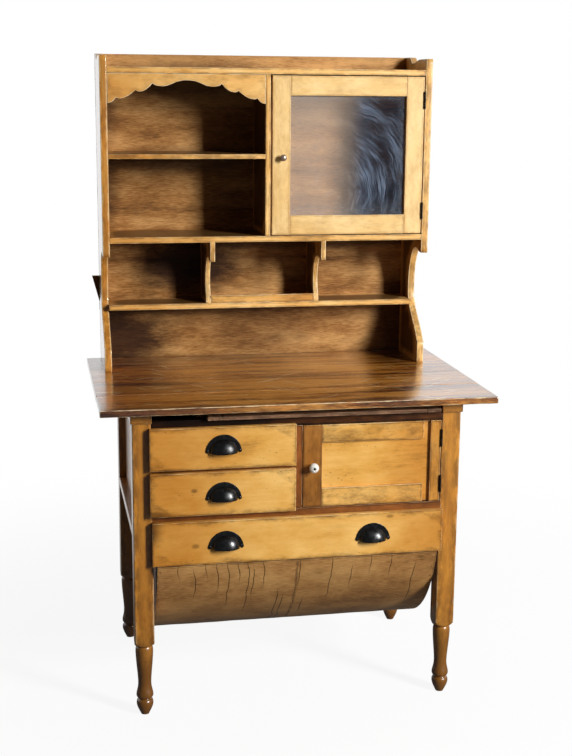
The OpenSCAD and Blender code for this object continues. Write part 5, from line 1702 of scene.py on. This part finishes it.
@dataclass
class CupboardDoor(Assembly):
    """A panel with four planted battens and a china knob."""

    body: str = "cupboard_door"
    x: Span = (8.5, 359.5)
    z: Span = (527.6, 735.6)
    front: float = 40.0
    batten: float = 8.0
    stile: float = 48.0
    strip: float = 27.0
    bare: float = 18.0
    top_h: float = 45.0
    low_h: float = 47.0
    knob_d: float = 25.0
    knob_out: float = 26.0

    def build(self) -> None:
        """Builds the panel, the battens and the knob; the hinge leaves are the CAD's."""
        self.plain("door_panel", Grain.ACROSS, BOARD["front"], "front_wood")
        depth = (self.front, self.front + self.batten)
        inner = (self.x[0] + self.stile + 0.2, self.x[1] - self.strip - self.bare)
        cuts = ((self.x[0], self.x[0] + self.stile), self.z, Grain.UPRIGHT), \
               (inner, (self.z[1] - self.top_h, self.z[1]), Grain.ACROSS), \
               (inner, (self.z[0], self.z[0] + self.low_h), Grain.ACROSS), \
               ((self.x[1] - self.strip, self.x[1]), self.z, Grain.UPRIGHT)
        battens = [Board(x, depth, z, grain, f"door batten {i}", edge=1.2).stock()
                   for i, (x, z, grain) in enumerate(cuts)]
        made = self.put("door_battens", battens, BOARD["front"], "front_wood")
        made.data.materials.append(BOARD["stile"].material())
        first = len(battens[0].faces)
        index = np.zeros(len(made.data.polygons), np.int32)
        index[:first] = 1
        made.data.polygons.foreach_set("material_index", index)
        self.build_knob()

    def build_knob(self) -> None:
        """Builds the china knob with its screw head sunk in the middle."""
        d, out = self.knob_d, self.knob_out
        profile = np.concatenate([
            [[d * 0.2, -0.2], [d * 0.3, 0.0], [d * 0.3, out * 0.08]],
            cubic((d * 0.3, out * 0.08), (d * 0.24, out * 0.2), (d * 0.22, out * 0.3),
                  (d * 0.27, out * 0.4), 7),
            cubic((d * 0.27, out * 0.4), (d * 0.52, out * 0.5), (d * 0.56, out * 0.72),
                  (d * 0.4, out * 0.88), 14),
            cubic((d * 0.4, out * 0.88), (d * 0.28, out * 0.96), (d * 0.2, out), (3.7, out), 8),
            [[3.45, out - 0.5], [3.45, out - 1.6], [0.3, out - 1.6]],
        ])
        x, z = self.x[0] + self.stile / 2, sum(self.z) / 2
        knob = Turning(profile, (x, self.front, z), "china knob", Grain.DEEP, segments=64).stock()
        t = np.linspace(0, 1, 7)
        head = np.stack([3.3 * np.sqrt(1 - t**2) + 0.02, out - 1.4 + 1.2 * t], 1)
        screw = Turning(head, (x, self.front, z), "china knob screw", Grain.DEEP,
                        segments=32).stock()
        made = self.put("door_knob", [knob, screw], CHINA, "porcelain")
        made.data.materials.append(IRON.material())
        index = np.zeros(len(made.data.polygons), np.int32)
        index[len(knob.faces):] = 1
        made.data.polygons.foreach_set("material_index", index)


@dataclass
class Hutch(Assembly):
    """Sides with S-curved fronts, shelves, scalloped board and the back."""

    front: float = 429.0
    back: float = 624.0
    side_out: Span = (-447.5, 428.5)
    side_t: float = 19.0
    base: float = 800.0
    straight: float = 306.0
    hollow: float = 115.0
    foot_set: float = 10.0
    foot_h: float = 60.0
    gallery: float = 1625.0
    gallery_low: float = 7.0
    gallery_dip: float = 16.0
    top_z: Span = (1574.3, 1589.5)
    bottom_z: Span = (1141.0, 1156.5)
    shelf_z: Span = (1358.2, 1370.5)
    partition_x: Span = (-19.65, -6.35)
    valance_h: float = 75.0
    valance_t: float = 12.0
    valance_rise: float = 58.0
    batten_depth: Span = (635.0, 647.0)
    back_boards: int = 6

    def side_outline(self) -> np.ndarray:
        """A side as (depth, z): straight above, hollowed between the hands' room and the foot.

        Returns:
            One row a point.
        """
        f, drop, foot_top = self.front, self.base + self.straight, self.base + self.foot_h
        hollow, foot, g, b = self.hollow, self.foot_set, self.gallery, self.back
        return np.concatenate([
            [[f, drop], [f + 10, drop]],
            cubic((f + 10, drop), (f + 24, drop), (f + 34, drop + 9), (f + 49, drop + 9), 8),
            cubic((f + 49, drop + 9), (f + hollow - 24, drop + 9), (f + hollow, drop - 46),
                  (f + hollow, drop - 98), 16),
            [[f + hollow, drop - 118]],
            cubic((f + hollow, drop - 118), (f + hollow, foot_top + 76), (f + 39, foot_top + 45),
                  (f + foot + 5, foot_top), 20),
            [[f + foot, foot_top], [f + foot, self.base], [b, self.base], [b, g], [b - 28, g]],
            cubic((b - 28, g), (b - 48, g), (b - 46, g - self.gallery_dip),
                  (b - 66, g - self.gallery_dip), 8),
            cubic((b - 66, g - self.gallery_dip), (b - 100, g - self.gallery_dip),
                  (b - 105, g - self.gallery_low), (b - 138, g - self.gallery_low), 8),
            [[f, g - self.gallery_low]],
        ])

    def valance_outline(self) -> np.ndarray:
        """The scalloped board as (x, z): lobes, an ogee and a pointed arch, mirrored.

        Returns:
            One row a point.
        """
        x0, x1 = self.side_out[0] + self.side_t + 0.9, self.partition_x[0] - 0.4
        h, half, rise = self.valance_h, (x1 - x0) / 2, self.valance_rise
        edge = np.concatenate([
            [[0.0, h]],
            cubic((0, h), (9, h), (17, h - 5), (21, h - 14), 4),
            cubic((21, h - 14), (26, h - 9), (46, h - 8.5), (71, h - 32.5), 7),
            cubic((71, h - 32.5), (76, h - 27), (95, h - 24), (114.5, h - 49.5), 7),
            cubic((114.5, h - 49.5), (118, h - 44.5), (128, h - 42.5), (140, h - 42.5), 5),
            cubic((140, h - 42.5), (162, h - 42.5), (half - 32, h - rise), (half, h - rise), 10),
        ])
        top = self.top_z[0] - 0.7
        edge[:, 1] -= 0.7
        left = np.stack([x0 + edge[:, 0], top - edge[:, 1]], 1)
        right = np.stack([x1 - edge[:, 0], top - edge[:, 1]], 1)[-2::-1]
        return np.concatenate([left, right, [[x1, top], [x0, top]]])

    def build(self) -> None:
        """Builds the sides, the boards between them, the scalloped board and the back."""
        wood, back = BOARD["hutch"], BOARD["back"]
        spans = ((self.side_out[0], self.side_out[0] + self.side_t),
                 (self.side_out[1] - self.side_t, self.side_out[1]))
        for name, span in zip(("left", "right"), spans):
            side = SawnBoard(self.side_outline(), (1, 2), span, Grain.UPRIGHT, f"hutch side {name}",
                             edge=1.4, rim=6.0)
            self.put(f"hutch_side_{name}", side.stock(),
                     BOARD["side"] if name == "left" else wood, "hutch_wood")
        inner = (spans[0][1], spans[1][0])
        depth = (self.front, self.back)
        boards = {
            "hutch_top": (inner, depth, self.top_z, Grain.ACROSS),
            "hutch_bottom": (inner, depth, self.bottom_z, Grain.ACROSS),
            "middle_shelf": ((inner[0], self.partition_x[0]), depth, self.shelf_z, Grain.ACROSS),
            "hutch_partition": (self.partition_x, depth, (self.bottom_z[1], self.top_z[0]),
                                Grain.UPRIGHT),
        }
        for node, (x, deep, z, grain) in boards.items():
            self.put(node, Board(x, deep, z, grain, node, edge=1.3, dents=0.8).stock(), wood,
                     "hutch_wood")
        valance = SawnBoard(self.valance_outline(), (0, 2),
                            (self.front + 0.8, self.front + self.valance_t), Grain.ACROSS,
                            "valance", edge=1.0, rim=2.2, step=10.0)
        self.put("valance", valance.stock(), BOARD["valance"], "hutch_wood")
        tall = (self.gallery - self.base) / self.back_boards
        # Tints of the back boards from the bottom up. The top board's 2.5 paints it much lighter: a
        # painted highlight for the light on the gallery above the hutch's top.
        boards_behind = [
            Board(self.side_out, (self.back, self.batten_depth[0]),
                  (self.base + i * tall - (0.4 if i else 0.0),
                   self.base + (i + 1) * tall + (0.4 if i < self.back_boards - 1 else 0.0)),
                  Grain.ACROSS, f"back board {i}", edge=0.5, rim=2.0, tint=tint).stock()
            for i, tint in enumerate((0.3, 0.2, 0.0, -0.4, 0.6, 2.5))]
        self.put("hutch_back", boards_behind, back, "hutch_back_wood")
        left, right = self.side_out
        batten = np.array([[left - 19, 1030], [right + 19, 1030], [right, 958], [right, 935],
                           [left, 935], [left, 958]], float)
        self.put("rear_batten", SawnBoard(batten, (0, 2), self.batten_depth, Grain.ACROSS,
                                          "rear batten").stock(), BOARD["inner"],
                 "hutch_back_wood")


@dataclass
class Pigeonholes(Assembly):
    """Shelf, two shaped dividers and the lip across the middle hole."""

    front: float = 429.0
    back: float = 624.0
    shelf_front: float = 513.0
    shelf_z: Span = (951.5, 966.0)
    inner: Span = (-428.5, 409.5)
    dividers: Span = (-160.0, 139.0)
    thick: float = 13.5
    top: float = 1145.0
    drop: float = 1090.0
    deep: float = 102.0
    lip: tuple[Span, Span] = ((515.0, 525.0), (966.0, 987.0))

    def divider_outline(self) -> np.ndarray:
        """A divider as (depth, z): straight tongue above, hollow below.

        Returns:
            One row a point.
        """
        f, d, z = self.front, self.drop, self.shelf_z[1]
        return np.concatenate([
            [[f, self.top], [f, d], [f + 8, d]],
            cubic((f + 8, d), (f + 20, d), (f + 30, d + 7), (f + 44, d + 7), 8),
            cubic((f + 44, d + 7), (f + self.deep - 22, d + 7), (f + self.deep, d - 26),
                  (f + self.deep, d - 62), 12),
            cubic((f + self.deep, d - 62), (f + self.deep, z + 38), (self.shelf_front + 4, z + 24),
                  (self.shelf_front + 1, z), 10),
            [[self.back, z], [self.back, self.top]],
        ])

    def build(self) -> None:
        """Builds the shelf, the dividers and the lip."""
        wood = BOARD["hutch"]
        self.put("pigeonhole_shelf",
                 Board(self.inner, (self.shelf_front, self.back), self.shelf_z, Grain.ACROSS,
                       "pigeonhole shelf", edge=1.3, dents=0.8).stock(), wood, "hutch_wood")
        for name, x in zip(("left", "right"), self.dividers):
            across = (x - self.thick / 2, x + self.thick / 2)
            board = SawnBoard(self.divider_outline(), (1, 2), across, Grain.UPRIGHT,
                              f"divider {name}", edge=1.3, step=10.0)
            self.put(f"divider_{name}_board", board.stock(), wood, "hutch_wood")
        half = self.thick / 2
        self.put("pigeonhole_lip",
                 Board((self.dividers[0] + half, self.dividers[1] - half), self.lip[0], self.lip[1],
                       Grain.ACROSS, "pigeonhole lip").stock(), BOARD["valance"], "hutch_wood")


@dataclass
class GlazedDoor(Assembly):
    """Frame with mitre-free joints, a smeared pane, beads and a small knob."""

    body: str = "glass_door"
    x: Span = (-1.55, 407.0)
    z: Span = (1159.0, 1571.8)
    depth: Span = (429.0, 447.0)
    stile: float = 48.0
    rail: float = 51.0
    pane: Span = (436.0, 439.0)
    rebate: float = 8.0
    bead: float = 7.0
    knob: tuple[float, float] = (25.45, 1361.4)
    knob_d: float = 18.0
    knob_out: float = 19.0

    def frame_half(self, x: Span, z: Span, grain: Grain, name: str, inner: float) -> list[Stock]:
        """A frame member in two layers: the full width in front of the glass, and the part
        beside the rebate behind it.

        Args:
            x, z: its box.
            grain: along it.
            name: its name, for the figure.
            inner: -1 or 1, the side of the box that the glass is on.

        Returns:
            The two layers.
        """
        layers = []
        for k, (deep, cut) in enumerate((((self.depth[0], self.pane[0]), 0.0),
                                         ((self.pane[0], self.depth[1]), self.rebate))):
            span, up = x, z
            if grain is Grain.UPRIGHT:
                span = (x[0], x[1] - cut) if inner > 0 else (x[0] + cut, x[1])
            else:
                up = (z[0], z[1] - cut) if inner > 0 else (z[0] + cut, z[1])
            layers.append(Board(span, deep, up, grain, name, edge=1.2 if k == 0 else 0.4).stock())
        return layers

    def build(self) -> None:
        """Builds the frame, the pane, the beads and the knob."""
        wood = BOARD["glazed"]
        (x0, x1), (z0, z1) = self.x, self.z
        stiles = self.frame_half((x0, x0 + self.stile), self.z, Grain.UPRIGHT, "glazed stile l", 1)
        stiles += self.frame_half((x1 - self.stile, x1), self.z, Grain.UPRIGHT,
                                  "glazed stile r", -1)
        self.put("glass_door_stiles", stiles, wood, "glass_door_wood")
        between = (x0 + self.stile + 0.1, x1 - self.stile - 0.1)
        rails = self.frame_half(between, (z0, z0 + self.rail), Grain.ACROSS, "glazed rail low", 1)
        rails += self.frame_half(between, (z1 - self.rail, z1), Grain.ACROSS, "glazed rail top", -1)
        self.put("glass_door_rails", rails, wood, "glass_door_wood")
        grow = self.rebate
        bx = (x0 + self.stile - grow, x1 - self.stile + grow)
        bz = (z0 + self.rail - grow, z1 - self.rail + grow)
        deep = (self.pane[1], self.pane[1] + self.bead)
        beads = [Board(x, deep, z, grain, f"bead {i}", edge=0.8).stock() for i, (x, z, grain) in
                 enumerate((((bx[0], bx[0] + self.bead), bz, Grain.UPRIGHT),
                            ((bx[1] - self.bead, bx[1]), bz, Grain.UPRIGHT),
                            ((bx[0] + self.bead, bx[1] - self.bead), (bz[0], bz[0] + self.bead),
                             Grain.ACROSS),
                            ((bx[0] + self.bead, bx[1] - self.bead), (bz[1] - self.bead, bz[1]),
                             Grain.ACROSS)))]
        self.put("glazing_beads", beads, wood, "glass_door_wood")
        pane = Board((bx[0] + 0.5, bx[1] - 0.5), self.pane, (bz[0] + 0.5, bz[1] - 0.5),
                     Grain.UPRIGHT, "pane", edge=0.3, uneven=0.12, dents=0.0)
        self.put("glass_pane", pane.stock(), GLASS, "glass")
        d, out = self.knob_d, self.knob_out
        profile = np.concatenate([
            [[d * 0.2, -0.2], [d * 0.3, 0.0], [d * 0.3, out * 0.08]],
            cubic((d * 0.3, out * 0.08), (d * 0.24, out * 0.2), (d * 0.22, out * 0.3),
                  (d * 0.27, out * 0.4), 7),
            cubic((d * 0.27, out * 0.4), (d * 0.52, out * 0.5), (d * 0.56, out * 0.72),
                  (d * 0.4, out * 0.88), 14),
            cubic((d * 0.4, out * 0.88), (d * 0.28, out * 0.96), (d * 0.1, out), (0.1, out), 8)])
        knob = Turning(profile, (self.knob[0], self.depth[0], self.knob[1]), "small knob",
                       Grain.DEEP, segments=48)
        self.put("glass_door_knob", knob.stock(), SMALL_KNOB, "black_iron")


@dataclass
class Hinges(Assembly):
    """Butt hinges, shown as the CAD's solids."""

    nodes: tuple[str, ...] = ("door_hinge_leaves", "glass_door_hinge_leaves",
                              "fixed_hinge_leaves")

    def build(self) -> None:
        """Dresses the leaves and knuckles."""
        for node in self.nodes:
            self.dress(node, HINGE_STEEL)


# ---------------------------------------------------------------- studio


@dataclass
class Studio:
    """Floor, world, lamps and the camera at the photograph's angle."""

    eye: Triple = (-0.638, -3.3627, 1.5372)
    yaw: float = 0.1921394653930249
    pitch: float = 0.2138051792312711
    roll: float = 0.008493816467657143
    lens: float = 63.357
    key_place: Triple = (3.35, -3.9, 2.7)
    key_size: Span = (0.9, 2.2)
    key_power: float = 400.0
    key_target: Triple = (-0.1, 0.1, 1.2)
    fill_place: Triple = (-3.2, -3.0, 2.2)
    fill_target: Triple = (0.0, 0.0, 0.8)
    fill_size: Span = (2.4, 2.4)
    fill_power: float = 0.8
    sky_front: float = 0.004
    sky_back: float = 0.55
    room: float = 0.08
    bounce: float = 0.22
    sheen_floor: float = 0.03
    floor_white: float = 0.95
    floor_half: float = 9.0
    sensor: float = 36.0

    def camera(self) -> None:
        """Turns the camera by yaw to the right, pitch down and roll, and makes it current."""
        cy, sy, cp, sp = (math.cos(self.yaw), math.sin(self.yaw), math.cos(self.pitch),
                          math.sin(self.pitch))
        ahead = np.array([sy * cp, cy * cp, -sp])
        right = np.array([cy, -sy, 0.0])
        up = np.cross(right, ahead)
        cr, sr = math.cos(self.roll), math.sin(self.roll)
        axes = (cr * right + sr * up, -sr * right + cr * up, -ahead)
        data = bpy.data.cameras.new("view")
        data.lens, data.sensor_width, data.sensor_fit = self.lens, self.sensor, "AUTO"
        made = bpy.data.objects.new("view", data)
        bpy.context.scene.collection.objects.link(made)
        rows = [[float(a[i]) for a in axes] + [self.eye[i]] for i in range(3)] + [[0, 0, 0, 1]]
        made.matrix_world = Matrix(rows)
        bpy.context.scene.camera = made

    def lamp(self, name: str, place: Triple,
             target: Triple, size: Span, power: float) -> None:
        """A soft lamp of that width and height that looks at target.

        Args:
            name: its name.
            place: where it stands.
            target: where it looks.
            size: width and height, in metres.
            power: its power, in watts.
        """
        data = bpy.data.lights.new(name, "AREA")
        data.shape = "RECTANGLE"
        data.size, data.size_y, data.energy = size[0], size[1], power
        made = bpy.data.objects.new(name, data)
        made.location = place
        made.rotation_euler = (Vector(target) - Vector(place)).to_track_quat("-Z", "Y").to_euler()
        bpy.context.scene.collection.objects.link(made)

    def world(self) -> None:
        """White to the eye and through glass, and to sheens that look past the object's back.

        In front of the object, sheens see a dim room. As a light, the world is dim in front and
        brighter behind.
        """
        world = bpy.data.worlds.new("studio")
        bpy.context.scene.world = world
        world.use_nodes = True
        tree = world.node_tree
        tree.nodes.clear()
        out = tree.nodes.new("ShaderNodeOutputWorld")
        path = tree.nodes.new("ShaderNodeLightPath")
        way = tree.nodes.new("ShaderNodeTexCoord")
        parts = tree.nodes.new("ShaderNodeSeparateXYZ")
        tree.links.new(way.outputs["Generated"], parts.inputs[0])
        shade = tree.nodes.new("ShaderNodeBackground")
        shade.inputs[0].default_value = (1, 1, 1, 1)
        last: Optional[Socket] = None
        for ray, low, high, span in (("", self.sky_front, self.sky_back, (0.0, 0.5)),
                                     ("Is Glossy Ray", self.room, 1.0, (-0.05, 0.25)),
                                     ("Is Camera Ray", 1.0, 1.0, (0.0, 1.0)),
                                     ("Is Transmission Ray", 1.0, 1.0, (0.0, 1.0))):
            level = tree.nodes.new("ShaderNodeMapRange")
            for i, value in enumerate((*span, low, high), 1):
                level.inputs[i].default_value = value
            tree.links.new(parts.outputs[1], level.inputs[0])
            if last is None:
                last = level.outputs[0]
                continue
            pick = tree.nodes.new("ShaderNodeMix")
            tree.links.new(path.outputs[ray], pick.inputs[0])
            tree.links.new(last, pick.inputs[2])
            tree.links.new(level.outputs[0], pick.inputs[3])
            last = pick.outputs[0]
        tree.links.new(last, shade.inputs[1])
        tree.links.new(shade.outputs[0], out.inputs[0])

    def floor(self) -> None:
        """A pale floor that reads white to the eye but keeps a faint shadow.

        To the eye it is a matt white mixed with a white glow, whose share grows to the whole
        away from the object, so that no horizon shows. Sheens see that white behind the object.
        """
        half = self.floor_half
        mesh = bpy.data.meshes.new("floor")
        mesh.from_pydata([(-half, -half, 0), (half, -half, 0), (half, half, 0), (-half, half, 0)],
                         [], [(0, 1, 2, 3)])
        made = bpy.data.objects.new("floor", mesh)
        bpy.context.scene.collection.objects.link(made)
        bench = Bench("pale_floor")
        place = bench.position()
        path = bench.node("ShaderNodeLightPath")
        far = bench.step(bench.vector("LENGTH", place, (0.0, 0.0, 0.0)), 0.5, 2.2, (0.9, 1.0))
        _, y, _ = bench.parts(place)
        behind = bench.math("MULTIPLY", path.outputs["Is Glossy Ray"],
                            bench.step(y, 0.3, 1.6, (self.room, 1.0)))
        matt = bench.node("ShaderNodeBsdfDiffuse")
        lit = bench.mix(path.outputs["Is Glossy Ray"], (self.bounce,) * 3,
                        (self.sheen_floor,) * 3)
        bench.plug(matt.inputs[0], bench.mix(path.outputs["Is Camera Ray"], lit,
                                             (self.floor_white,) * 3))
        glow = bench.node("ShaderNodeEmission")
        glow.inputs[0].default_value = (1, 1, 1, 1)
        both = bench.node("ShaderNodeMixShader")
        seen = bench.math("MULTIPLY", path.outputs["Is Camera Ray"], far)
        bench.plug(both.inputs[0], bench.math("MAXIMUM", seen, behind))
        bench.tree.links.new(matt.outputs[0], both.inputs[1])
        bench.tree.links.new(glow.outputs[0], both.inputs[2])
        bench.tree.links.new(both.outputs[0], bench.output.inputs[0])
        mesh.materials.append(bench.material)

    def build(self) -> None:
        """Sets everything up."""
        scene = bpy.context.scene
        scene.view_settings.view_transform = "Standard"
        self.camera()
        self.world()
        self.floor()
        self.lamp("key", self.key_place, self.key_target, self.key_size, self.key_power)
        self.lamp("fill", self.fill_place, self.fill_target, self.fill_size, self.fill_power)


def main() -> None:
    logging.basicConfig(level=logging.INFO, format="%(message)s")
    assemblies: list[Assembly] = [
        Worktop(),
        TableFrame(),
        BreadBoard(),
        Drawer("upper_drawer"),
        Drawer("lower_drawer", "lower", front_z=(524.1, 632.5), open_z=(526.1, 628.1),
               pull_z=561.8),
        FlourBin(),
        CupboardDoor(),
        Hutch(),
        Pigeonholes(),
        GlazedDoor(),
        Hinges(),
    ]
    for assembly in assemblies:
        assembly.build()
        LOG.info("%s is built", type(assembly).__name__)
    Studio().build()


if __name__ == "__main__":
    main()
